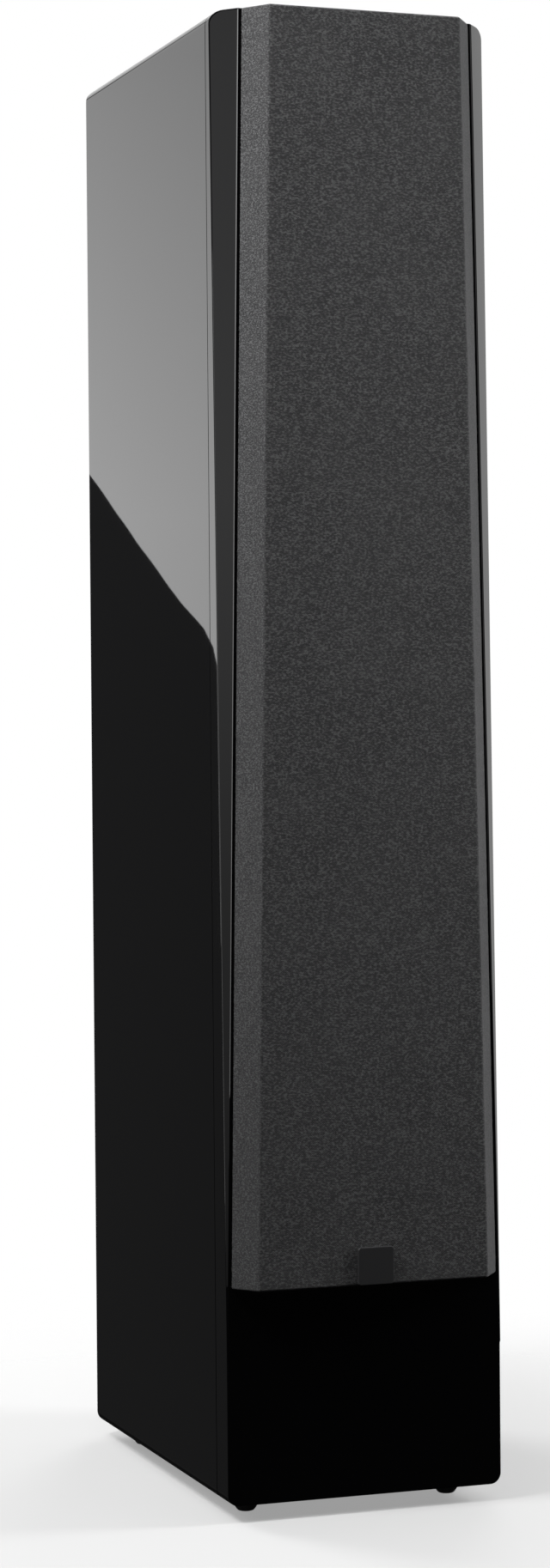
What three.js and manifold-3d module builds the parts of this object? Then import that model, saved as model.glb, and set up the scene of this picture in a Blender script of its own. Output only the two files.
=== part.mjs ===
// Slim floorstanding speaker: cabinet, grille, five drivers, ports, terminals, crossover and feet.
// Millimetres, +Z up. The front faces -Y, and +X is the right side as seen from the front.
// Origin: on the floor, at the centre of the bounding box in X and Y.

import * as THREE from 'three';
import { mergeVertices } from 'three/addons/utils/BufferGeometryUtils.js';
import { ConvexGeometry } from 'three/addons/geometries/ConvexGeometry.js';
import Module from 'manifold-3d';

const wasm = await Module();
wasm.setup();

// ---------------------------------------------------------------- driving dimensions (mm)

const clearance = 0.3; // between pieces that touch
const overcut = 1; // how far a cutter reaches past the face that it cuts

// cabinet
const cabinetWidth = 203;
const cabinetHeight = 1026;
const cabinetDepth = 317;
const cornerRadius = 8;
const wallThickness = 16;
const baffleThickness = 25;
const rearThickness = 16;
const shelfThickness = 12;
const wireHoleRadius = 8;

// front edge facets: full size at the top, running out to nothing lower down
const facetWidth = 15.5;
const facetDepth = 17;
const facetEndHeight = 100; // above the cabinet's underside
const facetCutterReach = 1.1; // how far the facet's cutter runs on past the top

// feet
const footHeight = 12;
const footTopRadius = 11;
const footBaseRadius = 6.5;
const footStudRadius = 3;
const footStudLength = 12;
const footSideInset = 26;
const footFrontInset = 39.5;
const footRearInset = 39.5;

// grille
const grilleDepth = 19;
const grilleBevel = 14.2; // how far each side slopes inwards
const grilleEdgeMargin = 2.2; // between the grille and the facet's edge
const grilleStandoff = 0.5; // between the grille and the baffle
const clothThickness = 1;
const railThickness = 10; // from a window's edge to the bevel, in X
const topRailHeight = 16;
const bottomRailHeight = 30;
const crossBarHeight = 10;
const crossBarThickness = 6;
const pegRadius = 4;
const pegLength = 11;
const pegEndInset = 14; // from the grille's ends to its first and last pegs
const grilleBottomMargin = 26.5; // from the grille's lower edge to the lowest flange
const socketWall = 2.2;
const badgeSize = 26.5;
const badgeThickness = 2;
const badgeCornerRadius = 2;

// driver places, from the cabinet's top down
const tweeterDrop = 104; // from the top to the tweeter's centre
const tweeterGap = 15; // between the tweeter's and the midrange's flanges
const midrangeGap = 17; // between the midrange's and the upper woofer's flanges
const wooferGap = 12; // between two woofers' flanges

// cone drivers: radii and depths; y = 0 is the baffle's front plane
const woofer = {
  flangeRadius: 84, cutoutRadius: 73, coneRadius: 57.5, coneDepth: 28, neckRadius: 19.5,
  rollRadius: 6, capRadius: 25, capHeight: 7, travel: 6, plateRadius: 45, magnetHeight: 18,
};
const midrange = {
  flangeRadius: 67, cutoutRadius: 57, coneRadius: 45, coneDepth: 22, neckRadius: 15.5,
  rollRadius: 4, capRadius: 20, capHeight: 6, travel: 2, plateRadius: 40, magnetHeight: 16,
};
const flangeThickness = 4;
const basketWall = 2.5;
const seatDepth = 2.3; // step in the flange that holds the surround
const coneThickness = 1.2;
const formerThickness = 0.8;
const gapClearance = 0.8; // each side of the voice coil
const suspensionThickness = 1;
const surroundLip = 2.2;
const surroundSeat = 4;
const spiderWave = 1.4;
const plateThickness = 5;
const magnetStep = 1.5; // how far the ferrite stands out past the plates
const spiderBehindNeck = 5; // besides the cone's travel
const plateBehindSpider = 6;
const ledgeLip = 1.5 * basketWall; // how far a basket's ledges reach inwards
const basketFloor = 0.6 * basketWall; // floor round the top plate
const spokeWindowShare = 0.36; // a window's half width, of the flange's radius
const spokeWindowDrop = 10; // from the flange's front to the windows
const coneCurve = 0.85; // below 1 the cone curves inwards; 1 is a straight cone
const spiderSpread = 0.9; // below 1 the waves crowd towards the rim
const capPoints = [0, 0.4, 0.75, 1]; // shares of the dust cap's radius

// tweeter
const tweeterPlateRadius = 52;
const tweeterPlateThickness = 4;
const tweeterBossRadius = 30;
const tweeterBossDepth = 9;
const waveguideRadius = 34;
const waveguideDepth = 4.2;
const domeRadius = 13;
const domeHeight = 5.5;
const domeThickness = 0.7;
const domeEdge = 1.3; // flat suspension ring round the dome
const domePoints = [0, 0.35, 0.65, 0.9, 1]; // shares of the dome's radius
const waveguideMidShare = 0.28; // of the waveguide's depth, halfway across it
const tweeterCoilLength = 7;
const tweeterMagnetRadius = 33;
const tweeterMagnetHeight = 12;

// rear ports, one beside each woofer's height
const portRadius = 25;
const portWall = 2.5;
const portLength = 120;
const portFlare = 8;
const portFlareLength = 14;
const portFlangeRadius = 40;
const portFlangeThickness = 3;

// terminals
const terminalHeight = 112; // above the cabinet's underside
const terminalPlateWidth = 96;
const terminalPlateHeight = 76;
const terminalPlateThickness = 3;
const terminalRim = 10; // from the plate's edge to the cup's outer wall
const cupWall = 2.5;
const cupDepth = 15;
const postSpacing = 34;
const postRadius = 3;
const postBoreRadius = 2;
const postBoreDepth = 14;
const postCollarRadius = 7;
const postCollarHeight = 5;
const postNutRadius = 5.5;
const postNutHeight = 4;
const postTail = 12;
const postWireHoleRadius = 1.5;
const washerRadius = 6.5;
const washerThickness = 1.5;
const knobRadius = 7.5;
const knobLength = 18;
const knobChamfer = 1;
const boreClearance = 0.5; // round the post, in radius

// crossover
const boardSideGap = 10.5; // from the board to the cabinet's inner walls
const boardLength = 110;
const boardThickness = 1.6;
const boardStandoffHeight = 6;
const boardStandoffRadius = 4;
const inductorRadius = 26;
const inductorBoreRadius = 12;
const inductorHeight = 24;
const capacitorRadius = 14;
const capacitorLength = 48;

// facets of the round pieces
const driverSides = 16;
const smallSides = 12;
const rollSteps = 4;
const spiderWaves = 5;

// ---------------------------------------------------------------- derived places

const halfWidth = cabinetWidth / 2;
const cabinetBottom = footHeight;
const cabinetTop = cabinetBottom + cabinetHeight;
const innerHalfWidth = halfWidth - wallThickness;
const innerBottom = cabinetBottom + wallThickness;
const innerTop = cabinetTop - wallThickness;

const knobEnd = -cupDepth + clearance + postCollarHeight + clearance + washerThickness
  + clearance + knobLength; // past the rear face
const badgeProud = clearance + badgeThickness;
const overallDepth = badgeProud + grilleDepth + cabinetDepth + knobEnd;
const baffleFront = -overallDepth / 2 + badgeProud + grilleDepth;
const baffleBack = baffleFront + baffleThickness;
const rearFace = baffleFront + cabinetDepth;
const wrapFront = baffleBack + clearance;
const rearPanelFront = rearFace - rearThickness;

const midway = (a, b) => (a + b) / 2;
const tweeterZ = cabinetTop - tweeterDrop;
const midrangeZ = tweeterZ - tweeterPlateRadius - tweeterGap - midrange.flangeRadius;
const belowMidrange = midrangeZ - midrange.flangeRadius - midrangeGap;
const wooferStep = 2 * woofer.flangeRadius + wooferGap;
const wooferHeights = [0, 1, 2].map((step) => belowMidrange - woofer.flangeRadius - step * wooferStep);
const shelfHeights = [
  belowMidrange + midrangeGap / 2,
  midway(wooferHeights[0], wooferHeights[1]),
  midway(wooferHeights[1], wooferHeights[2]),
];

const grilleBottom = wooferHeights[2] - woofer.flangeRadius - grilleBottomMargin;
const grilleTop = cabinetTop;
const bevelSlope = grilleBevel / grilleDepth;
const frameInset = clothThickness + clearance;
const socketRadius = pegRadius + clearance + socketWall;
const socketLength = pegLength + clearance;
const pegHeights = [grilleTop - pegEndInset, shelfHeights[1], grilleBottom + pegEndInset];
const crossBarHeights = [
  midrangeZ + midrange.flangeRadius + tweeterGap / 2,
  ...shelfHeights,
];

const terminalZ = cabinetBottom + terminalHeight;
const footX = halfWidth - footSideInset;
const footYs = [baffleFront + footFrontInset, rearFace - footRearInset];
const boardWidth = 2 * (innerHalfWidth - boardSideGap);
const boardTop = innerBottom + clearance + boardStandoffHeight + boardThickness;

// ---------------------------------------------------------------- solids

// A geometry as a closed solid: shared vertices merged, empty triangles dropped, faces outwards.
function solid(geometry) {
  geometry.deleteAttribute('normal');
  geometry.deleteAttribute('uv');
  const merged = mergeVertices(geometry, 1e-4);
  const place = merged.getAttribute('position');
  const corners = merged.getIndex().array;
  const points = [0, 1, 2].map(() => new THREE.Vector3());
  const triangles = [];
  let volume = 0;
  for (let i = 0; i < corners.length; i += 3) {
    const [a, b, c] = corners.slice(i, i + 3);
    if (a === b || b === c || c === a) continue;
    triangles.push([a, b, c]);
    points.forEach((point, k) => point.fromBufferAttribute(place, corners[i + k]));
    volume += points[0].dot(points[1].cross(points[2]));
  }
  const outward = volume > 0 ? triangles : triangles.map(([a, b, c]) => [a, c, b]);
  return new wasm.Manifold(new wasm.Mesh({
    numProp: 3,
    vertProperties: new Float32Array(place.array),
    triVerts: new Uint32Array(outward.flat()),
  }));
}

// A block between two corners.
function block([x0, y0, z0], [x1, y1, z1]) {
  const box = new THREE.BoxGeometry(x1 - x0, y1 - y0, z1 - z0);
  return solid(box.translate(midway(x0, x1), midway(y0, y1), midway(z0, z1)));
}

// A profile of [radius, y] points turned round the Y axis. A ring's profile closes on itself.
function turned(profile, sides, isRing = false) {
  const points = profile.map(([radius, y]) => new THREE.Vector2(radius, y));
  if (isRing) points.push(points[0].clone());
  return new THREE.LatheGeometry(points, sides);
}
const ring = (profile, sides) => solid(turned(profile, sides, true));
const round = (profile, sides) => solid(turned(profile, sides));

// A rod along Y, from y0 to y1, at (x, z).
function rod(radius, y0, y1, x = 0, z = 0, sides = smallSides) {
  const profile = [[0, y0], [radius, y0], [radius, y1], [0, y1]];
  return solid(turned(profile, sides).translate(x, 0, z));
}

// An upright rod, from z0 to z1, at (x, y).
function uprightRod(radius, z0, z1, x = 0, y = 0, sides = smallSides) {
  const profile = [[0, z0], [radius, z0], [radius, z1], [0, z1]];
  return solid(turned(profile, sides).rotateX(Math.PI / 2).translate(x, y, 0));
}

// A rectangle in X and Z with round corners.
function roundedOutline(x0, z0, x1, z1, radius) {
  const outline = new THREE.Shape();
  outline.moveTo(x0 + radius, z0);
  outline.lineTo(x1 - radius, z0);
  outline.absarc(x1 - radius, z0 + radius, radius, -Math.PI / 2, 0);
  outline.lineTo(x1, z1 - radius);
  outline.absarc(x1 - radius, z1 - radius, radius, 0, Math.PI / 2);
  outline.lineTo(x0 + radius, z1);
  outline.absarc(x0 + radius, z1 - radius, radius, Math.PI / 2, Math.PI);
  outline.lineTo(x0, z0 + radius);
  outline.absarc(x0 + radius, z0 + radius, radius, Math.PI, 1.5 * Math.PI);
  return outline;
}

// An outline in X and Z, extruded along Y from y0 to y1.
function extruded(outline, y0, y1) {
  const options = { depth: y1 - y0, bevelEnabled: false, curveSegments: 4 };
  return solid(new THREE.ExtrudeGeometry(outline, options).rotateX(Math.PI / 2).translate(0, y1, 0));
}

const joined = (first, ...others) => others.reduce((whole, other) => whole.add(other), first);
const cut = (body, ...cutters) => cutters.reduce((rest, cutter) => rest.subtract(cutter), body);

// Points along an arc in a [radius, y] profile, angles in degrees.
function arc(centreRadius, centreY, radius, from, to, steps) {
  return Array.from({ length: steps + 1 }, (_, i) => {
    const angle = THREE.MathUtils.degToRad(from + (to - from) * i / steps);
    return [centreRadius + radius * Math.cos(angle), centreY + radius * Math.sin(angle)];
  });
}

// ---------------------------------------------------------------- finishes and nodes

const finish = (color, roughness, metalness = 0) => ({ color, roughness, metalness });
const finishes = {
  lacquer: finish(0x0a0a0b, 0.08),
  board: finish(0x8a6f4d, 0.85),
  vinyl: finish(0x151515, 0.6),
  cloth: finish(0x2b2b2d, 0.95),
  plastic: finish(0x18181a, 0.5),
  gloss: finish(0x0c0c0d, 0.12),
  rubber: finish(0x121212, 0.85),
  cone: finish(0x2a2b2d, 0.6),
  silk: finish(0x1c1c1e, 0.8),
  spider: finish(0xb59a5a, 0.9),
  steel: finish(0xb8bbbf, 0.35, 1),
  ferrite: finish(0x2c2c2e, 0.7),
  coil: finish(0xb06a3a, 0.4, 1),
  gold: finish(0xcaa24c, 0.25, 1),
  circuit: finish(0x1f4a2c, 0.6),
  film: finish(0xb9a23a, 0.4),
};

const speaker = new THREE.Group();

// One named piece, from a solid in its group's own frame.
function piece(name, finishName, body, parent = speaker) {
  const { vertProperties, triVerts } = body.getMesh();
  const geometry = new THREE.BufferGeometry();
  geometry.setAttribute('position', new THREE.BufferAttribute(vertProperties, 3));
  geometry.setIndex(new THREE.BufferAttribute(triVerts, 1));
  geometry.computeVertexNormals();
  const mesh = new THREE.Mesh(geometry, new THREE.MeshStandardMaterial(finishes[finishName]));
  mesh.name = name;
  parent.add(mesh);
  return mesh;
}

// A group whose frame sits at (x, y, z).
function at(x, y, z) {
  const group = new THREE.Group();
  group.position.set(x, y, z);
  speaker.add(group);
  return group;
}

// ---------------------------------------------------------------- cabinet

// The corner that a facet cuts from one front edge, side being -1 or 1.
function facetCutter(side) {
  const start = new THREE.Vector3(side * halfWidth, baffleFront, cabinetBottom + facetEndHeight);
  const along = (x, y) => new THREE.Vector3(side * x, y, cabinetTop).sub(start).multiplyScalar(facetCutterReach);
  const front = along(halfWidth - facetWidth, baffleFront).add(start);
  const back = along(halfWidth, baffleFront + facetDepth).add(start);
  const outside = new THREE.Vector3(side * (halfWidth + facetWidth), baffleFront - facetDepth, front.z);
  return solid(new ConvexGeometry([start, front, back, outside]));
}

const cabinetOutline = () => roundedOutline(
  -halfWidth, cabinetBottom, halfWidth, cabinetTop, cornerRadius,
);

// Blind holes for the feet's studs, in the row nearest to y.
function footHoles(y) {
  const radius = footStudRadius + clearance;
  const end = cabinetBottom + footStudLength + clearance;
  return [-footX, footX].map((x) => uprightRod(radius, cabinetBottom - overcut, end, x, y));
}

function cabinetWrap() {
  const shell = extruded(cabinetOutline(), wrapFront, rearFace);
  const inside = block(
    [-innerHalfWidth, wrapFront - overcut, innerBottom],
    [innerHalfWidth, rearFace + overcut, innerTop],
  );
  return cut(shell, inside, ...footYs.flatMap(footHoles));
}

// A hole for a round flange with a step, through the baffle at height z.
function driverHole(flangeRadius, flangeDepth, holeRadius, z) {
  const rebateFloor = baffleFront + flangeDepth + clearance;
  return joined(
    rod(flangeRadius + clearance, baffleFront - overcut, rebateFloor, 0, z, driverSides),
    rod(holeRadius + clearance, baffleFront, baffleBack + overcut, 0, z, driverSides),
  );
}

// The peg's X on the right-hand rail, at height z.
const pegX = (z) => midway(windowHalfWidth(z, 0), grilleHalfWidth(z, 0, frameInset));

function eachPeg(make) {
  return pegHeights.flatMap((z) => [-1, 1].map((side) => make(side * pegX(z), z)));
}

function frontBaffle() {
  const panel = extruded(cabinetOutline(), baffleFront, baffleBack);
  const wooferHoles = wooferHeights.map(
    (z) => driverHole(woofer.flangeRadius, flangeThickness, woofer.cutoutRadius, z),
  );
  const midrangeHole = driverHole(midrange.flangeRadius, flangeThickness, midrange.cutoutRadius, midrangeZ);
  const tweeterHole = driverHole(
    tweeterPlateRadius, tweeterPlateThickness, tweeterMagnetRadius, tweeterZ,
  );
  const socketEnd = baffleFront + socketLength + clearance;
  const socketHoles = eachPeg(
    (x, z) => rod(socketRadius + clearance, baffleFront - overcut, socketEnd, x, z),
  );
  return cut(
    panel, facetCutter(-1), facetCutter(1), ...wooferHoles, midrangeHole, tweeterHole,
    ...socketHoles,
  );
}

function rearPanel() {
  const panel = block(
    [-innerHalfWidth + clearance, rearPanelFront, innerBottom + clearance],
    [innerHalfWidth - clearance, rearFace, innerTop - clearance],
  );
  const portHoles = wooferHeights.map((z) => rod(
    portRadius + portWall + portFlare + clearance, rearPanelFront - overcut, rearFace + overcut,
    0, z, driverSides,
  ));
  const halfCupWidth = terminalPlateWidth / 2 - terminalRim + clearance;
  const halfCupHeight = terminalPlateHeight / 2 - terminalRim + clearance;
  const cupHole = block(
    [-halfCupWidth, rearPanelFront - overcut, terminalZ - halfCupHeight],
    [halfCupWidth, rearFace + overcut, terminalZ + halfCupHeight],
  );
  return cut(panel, ...portHoles, cupHole);
}

// A shelf with its wire hole, centred on height z.
function shelf(z) {
  const panel = block(
    [-innerHalfWidth + clearance, wrapFront, z - shelfThickness / 2],
    [innerHalfWidth - clearance, rearPanelFront - clearance, z + shelfThickness / 2],
  );
  const holeX = innerHalfWidth - 3 * wireHoleRadius;
  return cut(panel, uprightRod(wireHoleRadius, z - shelfThickness, z + shelfThickness, holeX));
}

piece('cabinet_wrap', 'lacquer', cabinetWrap());
piece('front_baffle', 'lacquer', frontBaffle());
piece('rear_panel', 'vinyl', rearPanel());
['upper', 'middle', 'lower'].forEach((level, i) => {
  piece(`shelf_${level}`, 'board', shelf(shelfHeights[i]));
});

// ---------------------------------------------------------------- grille

// Half the width between the facets' front edges, at height z.
function facetEdge(z) {
  const run = cabinetHeight - facetEndHeight;
  return halfWidth - facetWidth * Math.max(0, z - cabinetBottom - facetEndHeight) / run;
}

// Half the grille's width at height z and y in front of the baffle, inset from its skin.
function grilleHalfWidth(z, y, inset) {
  return facetEdge(z) - grilleEdgeMargin + y * bevelSlope - inset * Math.hypot(1, bevelSlope);
}

// Half the width of the frame's windows at height z and y in front of the baffle.
function windowHalfWidth(z, y) {
  return grilleHalfWidth(z, y, frameInset) - railThickness;
}

// The grille's tapered block, inset from its skin, with its back at y.
function grilleBlock(inset, back) {
  const corners = [grilleBottom + inset, grilleTop - inset].flatMap((z) => (
    [back, -grilleDepth + inset].flatMap((y) => {
      const x = grilleHalfWidth(z, y, inset);
      return [new THREE.Vector3(-x, y, z), new THREE.Vector3(x, y, z)];
    })
  ));
  return solid(new ConvexGeometry(corners));
}

function grilleFrame() {
  const windowEnds = [grilleBottom + bottomRailHeight, grilleTop - topRailHeight];
  const window = solid(new ConvexGeometry(windowEnds.flatMap((z) => (
    [-grilleDepth - overcut, overcut].flatMap((y) => [-1, 1].map(
      (side) => new THREE.Vector3(side * windowHalfWidth(z, y), y, z),
    ))
  ))));
  const bars = crossBarHeights.map((z) => {
    const end = windowHalfWidth(z, -grilleStandoff) + overcut;
    return block(
      [-end, -grilleStandoff - crossBarThickness, z - crossBarHeight / 2],
      [end, -grilleStandoff, z + crossBarHeight / 2],
    );
  });
  const pegs = eachPeg((x, z) => rod(pegRadius, -grilleStandoff - clearance, pegLength, x, z));
  const rails = cut(grilleBlock(frameInset, -grilleStandoff), window);
  return joined(rails, ...bars, ...pegs);
}

function grilleCloth() {
  return cut(grilleBlock(0, -grilleStandoff), grilleBlock(clothThickness, overcut));
}

function badge() {
  const bottom = grilleBottom + clearance;
  const half = badgeSize / 2;
  const outline = roundedOutline(-half, bottom, half, bottom + badgeSize, badgeCornerRadius);
  const back = -grilleDepth - clearance;
  return extruded(outline, back - badgeThickness, back);
}

const grille = at(0, baffleFront, 0);
piece('grille_frame', 'plastic', grilleFrame(), grille);
piece('grille_cloth', 'cloth', grilleCloth(), grille);
piece('badge', 'gloss', badge(), grille);

const socketPlaces = eachPeg((x, z) => [x, z]);
const socketNames = ['top_left', 'top_right', 'middle_left', 'middle_right', 'bottom_left', 'bottom_right'];
socketPlaces.forEach(([x, z], i) => {
  const inner = pegRadius + clearance;
  const profile = [[inner, 0], [socketRadius, 0], [socketRadius, socketLength], [inner, socketLength]];
  piece(`grille_socket_${socketNames[i]}`, 'rubber', ring(profile, smallSides), at(x, baffleFront, z));
});

// ---------------------------------------------------------------- cone drivers

// Depths and radii that follow from a cone driver's own sizes.
function layout(driver) {
  const lip = suspensionThickness;
  const neck = lip + driver.coneDepth;
  const spider = neck + driver.travel + spiderBehindNeck;
  const ledge = spider + suspensionThickness / 2 + clearance;
  const plate = spider + plateBehindSpider;
  const surroundInner = driver.coneRadius + clearance;
  const rollCentre = surroundInner + surroundLip + driver.rollRadius;
  const surroundOuter = rollCentre + driver.rollRadius + surroundSeat;
  const formerEnd = plate + clearance + driver.travel + plateThickness;
  const throat = driver.neckRadius + 2 * basketWall;
  return {
    lip, neck, spider, ledge, plate, surroundInner, rollCentre, surroundOuter, formerEnd, throat,
  };
}

// The cone's front surface: y at a radius. It curves gently in towards the neck.
function coneFront(driver, radius) {
  const { lip } = layout(driver);
  const share = (driver.coneRadius - radius) / (driver.coneRadius - driver.neckRadius);
  return lip + driver.coneDepth * share ** coneCurve;
}

// Spokes, a flange with a seat for the surround, and a ledge for the spider.
function basket(driver) {
  const { ledge, plate, surroundOuter, throat } = layout(driver);
  const ledgeOuter = driver.plateRadius;
  const ledgeInner = ledgeOuter - ledgeLip;
  const seatOuter = surroundOuter + clearance;
  const seatInner = driver.cutoutRadius - ledgeLip;
  const shell = ring([
    [driver.flangeRadius, 0],
    [driver.flangeRadius, flangeThickness],
    [driver.cutoutRadius, flangeThickness],
    [ledgeOuter + basketWall, ledge],
    [ledgeOuter + basketWall, plate],
    [throat, plate],
    [throat, plate - basketFloor],
    [ledgeInner, plate - basketFloor],
    [ledgeInner, ledge],
    [ledgeOuter, ledge],
    [ledgeOuter, ledge - basketWall],
    [seatInner, flangeThickness],
    [seatInner, seatDepth],
    [seatOuter, seatDepth],
    [seatOuter, 0],
  ], driverSides);
  const reach = driver.flangeRadius;
  const halfWindow = spokeWindowShare * driver.flangeRadius;
  const windowBack = ledge - 2 * basketWall;
  return cut(
    shell,
    block([-reach, spokeWindowDrop, -halfWindow], [reach, windowBack, halfWindow]),
    block([-halfWindow, spokeWindowDrop, -reach], [halfWindow, windowBack, reach]),
  );
}

// Cone with its voice coil former behind the neck.
function cone(driver) {
  const { neck, formerEnd } = layout(driver);
  const inner = driver.neckRadius - formerThickness;
  const radii = [driver.coneRadius, midway(driver.coneRadius, driver.capRadius), driver.capRadius];
  const front = radii.map((radius) => [radius, coneFront(driver, radius)]);
  const back = front.map(([radius, y]) => [radius, y + coneThickness]);
  return ring([
    ...front,
    [inner, neck],
    [inner, formerEnd],
    [driver.neckRadius, formerEnd],
    [driver.neckRadius, neck + coneThickness],
    ...back.reverse(),
  ], driverSides);
}

// Half-roll rubber ring between the cone and the flange.
function surround(driver) {
  const { lip, surroundInner, surroundOuter, rollCentre } = layout(driver);
  const back = lip + suspensionThickness;
  return ring([
    [surroundInner, lip],
    ...arc(rollCentre, lip, driver.rollRadius, 180, 360, rollSteps),
    [surroundOuter, lip],
    [surroundOuter, back],
    ...arc(rollCentre, back, driver.rollRadius - suspensionThickness, 360, 180, rollSteps),
    [surroundInner, back],
  ], driverSides);
}

function dustCap(driver) {
  const rim = coneFront(driver, driver.capRadius) - clearance;
  const bulge = (radius) => driver.capHeight * (1 - (radius / driver.capRadius) ** 2);
  const radii = capPoints.map((share) => share * driver.capRadius);
  const front = radii.map((radius) => [radius, rim - coneThickness - bulge(radius)]);
  const back = radii.map((radius) => [radius, rim - bulge(radius)]);
  return round([...front, ...back.reverse()], driverSides);
}

// Corrugated ring that centres the former.
function spider(driver) {
  const centre = layout(driver).spider;
  const inner = driver.neckRadius + gapClearance;
  const outer = driver.plateRadius - clearance;
  const steps = spiderWaves + 1;
  const line = Array.from({ length: steps + 1 }, (_, i) => {
    const wave = i === 0 || i >= steps - 1 ? 0 : spiderWave * (-1) ** i;
    return [inner + (outer - inner) * (i / steps) ** spiderSpread, centre + wave];
  });
  const half = suspensionThickness / 2;
  const front = line.map(([radius, y]) => [radius, y - half]);
  const back = line.map(([radius, y]) => [radius, y + half]);
  return ring([...front, ...back.reverse()], driverSides);
}

// Top plate, ferrite ring, back plate and pole, with the gap that the voice coil runs in.
function motor(driver) {
  const front = layout(driver).plate + clearance;
  const pole = driver.neckRadius - formerThickness - gapClearance;
  const gap = driver.neckRadius + gapClearance;
  const ferriteFront = front + plateThickness;
  const ferriteBack = ferriteFront + driver.magnetHeight;
  return round([
    [0, front],
    [pole, front],
    [pole, ferriteBack],
    [gap, ferriteBack],
    [gap, front],
    [driver.plateRadius - magnetStep, front],
    [driver.plateRadius - magnetStep, ferriteFront],
    [driver.plateRadius, ferriteFront],
    [driver.plateRadius, ferriteBack],
    [driver.plateRadius - magnetStep, ferriteBack],
    [driver.plateRadius - magnetStep, ferriteBack + plateThickness],
    [0, ferriteBack + plateThickness],
  ], driverSides);
}

function coneDriver(name, driver, z) {
  const place = at(0, baffleFront, z);
  piece(`${name}_basket`, 'plastic', basket(driver), place);
  piece(`${name}_surround`, 'rubber', surround(driver), place);
  piece(`${name}_cone`, 'cone', cone(driver), place);
  piece(`${name}_dust_cap`, 'cone', dustCap(driver), place);
  piece(`${name}_spider`, 'spider', spider(driver), place);
  piece(`${name}_magnet`, 'ferrite', motor(driver), place);
}

['woofer_upper', 'woofer_middle', 'woofer_lower'].forEach((name, i) => {
  coneDriver(name, woofer, wooferHeights[i]);
});
coneDriver('midrange', midrange, midrangeZ);

// ---------------------------------------------------------------- tweeter

const domeOuter = domeRadius + domeEdge;
const domeRim = waveguideDepth + domeThickness;
const tweeterGapInner = domeRadius - 2 * domeThickness - gapClearance;
const tweeterGapOuter = domeRadius + gapClearance;
const tweeterMagnetFront = tweeterBossDepth + clearance;
const tweeterCoilFront = domeRim + domeThickness + clearance;

function tweeterFaceplate() {
  const throat = domeOuter + clearance;
  return ring([
    [tweeterPlateRadius, 0],
    [tweeterPlateRadius, tweeterPlateThickness],
    [tweeterBossRadius, tweeterPlateThickness],
    [tweeterBossRadius, tweeterBossDepth],
    [throat, tweeterBossDepth],
    [throat, waveguideDepth],
    [midway(throat, waveguideRadius), waveguideMidShare * waveguideDepth],
    [waveguideRadius, 0],
  ], driverSides);
}

function tweeterDome() {
  const bulge = (radius) => domeHeight * Math.sqrt(1 - (radius / domeRadius) ** 2);
  const radii = domePoints.map((share) => share * domeRadius);
  const front = radii.map((radius) => [radius, domeRim - bulge(radius)]);
  const back = radii.map((radius) => [radius, domeRim + domeThickness - bulge(radius)]);
  return round([...front, [domeOuter, domeRim], [domeOuter, domeRim + domeThickness], ...back.reverse()],
    driverSides);
}

function tweeterCoil() {
  const inner = domeRadius - 2 * domeThickness;
  const end = tweeterCoilFront + tweeterCoilLength;
  return ring([[inner, tweeterCoilFront], [domeRadius, tweeterCoilFront], [domeRadius, end], [inner, end]],
    driverSides);
}

function tweeterMotor() {
  const gapEnd = tweeterCoilFront + tweeterCoilLength + 3 * clearance;
  const end = Math.max(tweeterMagnetFront + tweeterMagnetHeight, gapEnd + plateThickness);
  return round([
    [0, tweeterMagnetFront],
    [tweeterGapInner, tweeterMagnetFront],
    [tweeterGapInner, gapEnd],
    [tweeterGapOuter, gapEnd],
    [tweeterGapOuter, tweeterMagnetFront],
    [tweeterMagnetRadius, tweeterMagnetFront],
    [tweeterMagnetRadius, end],
    [0, end],
  ], driverSides);
}

const tweeter = at(0, baffleFront, tweeterZ);
piece('tweeter_faceplate', 'plastic', tweeterFaceplate(), tweeter);
piece('tweeter_dome', 'silk', tweeterDome(), tweeter);
piece('tweeter_voice_coil', 'coil', tweeterCoil(), tweeter);
piece('tweeter_magnet', 'ferrite', tweeterMotor(), tweeter);

// ---------------------------------------------------------------- rear ports

// A tube with a flare at each end; y = 0 is the rear face.
function port() {
  const outer = portRadius + portWall;
  const flareFront = -portFlareLength;
  const innerEnd = -portLength;
  return ring([
    [portFlangeRadius, clearance],
    [portFlangeRadius, clearance + portFlangeThickness],
    [portRadius + portFlare, clearance + portFlangeThickness],
    [portRadius + portFlare / 4, clearance - portFlareLength / 3],
    [portRadius, flareFront],
    [portRadius, innerEnd + portFlareLength],
    [portRadius + portFlare / 2, innerEnd],
    [outer + portFlare / 2, innerEnd],
    [outer, innerEnd + portFlareLength],
    [outer, flareFront],
    [outer + portFlare, 0],
    [outer + portFlare, clearance],
  ], driverSides);
}

['upper', 'middle', 'lower'].forEach((level, i) => {
  piece(`port_${level}`, 'plastic', port(), at(0, rearFace, wooferHeights[i]));
});

// ---------------------------------------------------------------- terminals

const postXs = [-postSpacing / 2, postSpacing / 2];
const cupFloor = -cupDepth;
const collarTop = cupFloor + clearance + postCollarHeight;
const washerTop = collarTop + clearance + washerThickness;
const knobBottom = washerTop + clearance;

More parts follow.
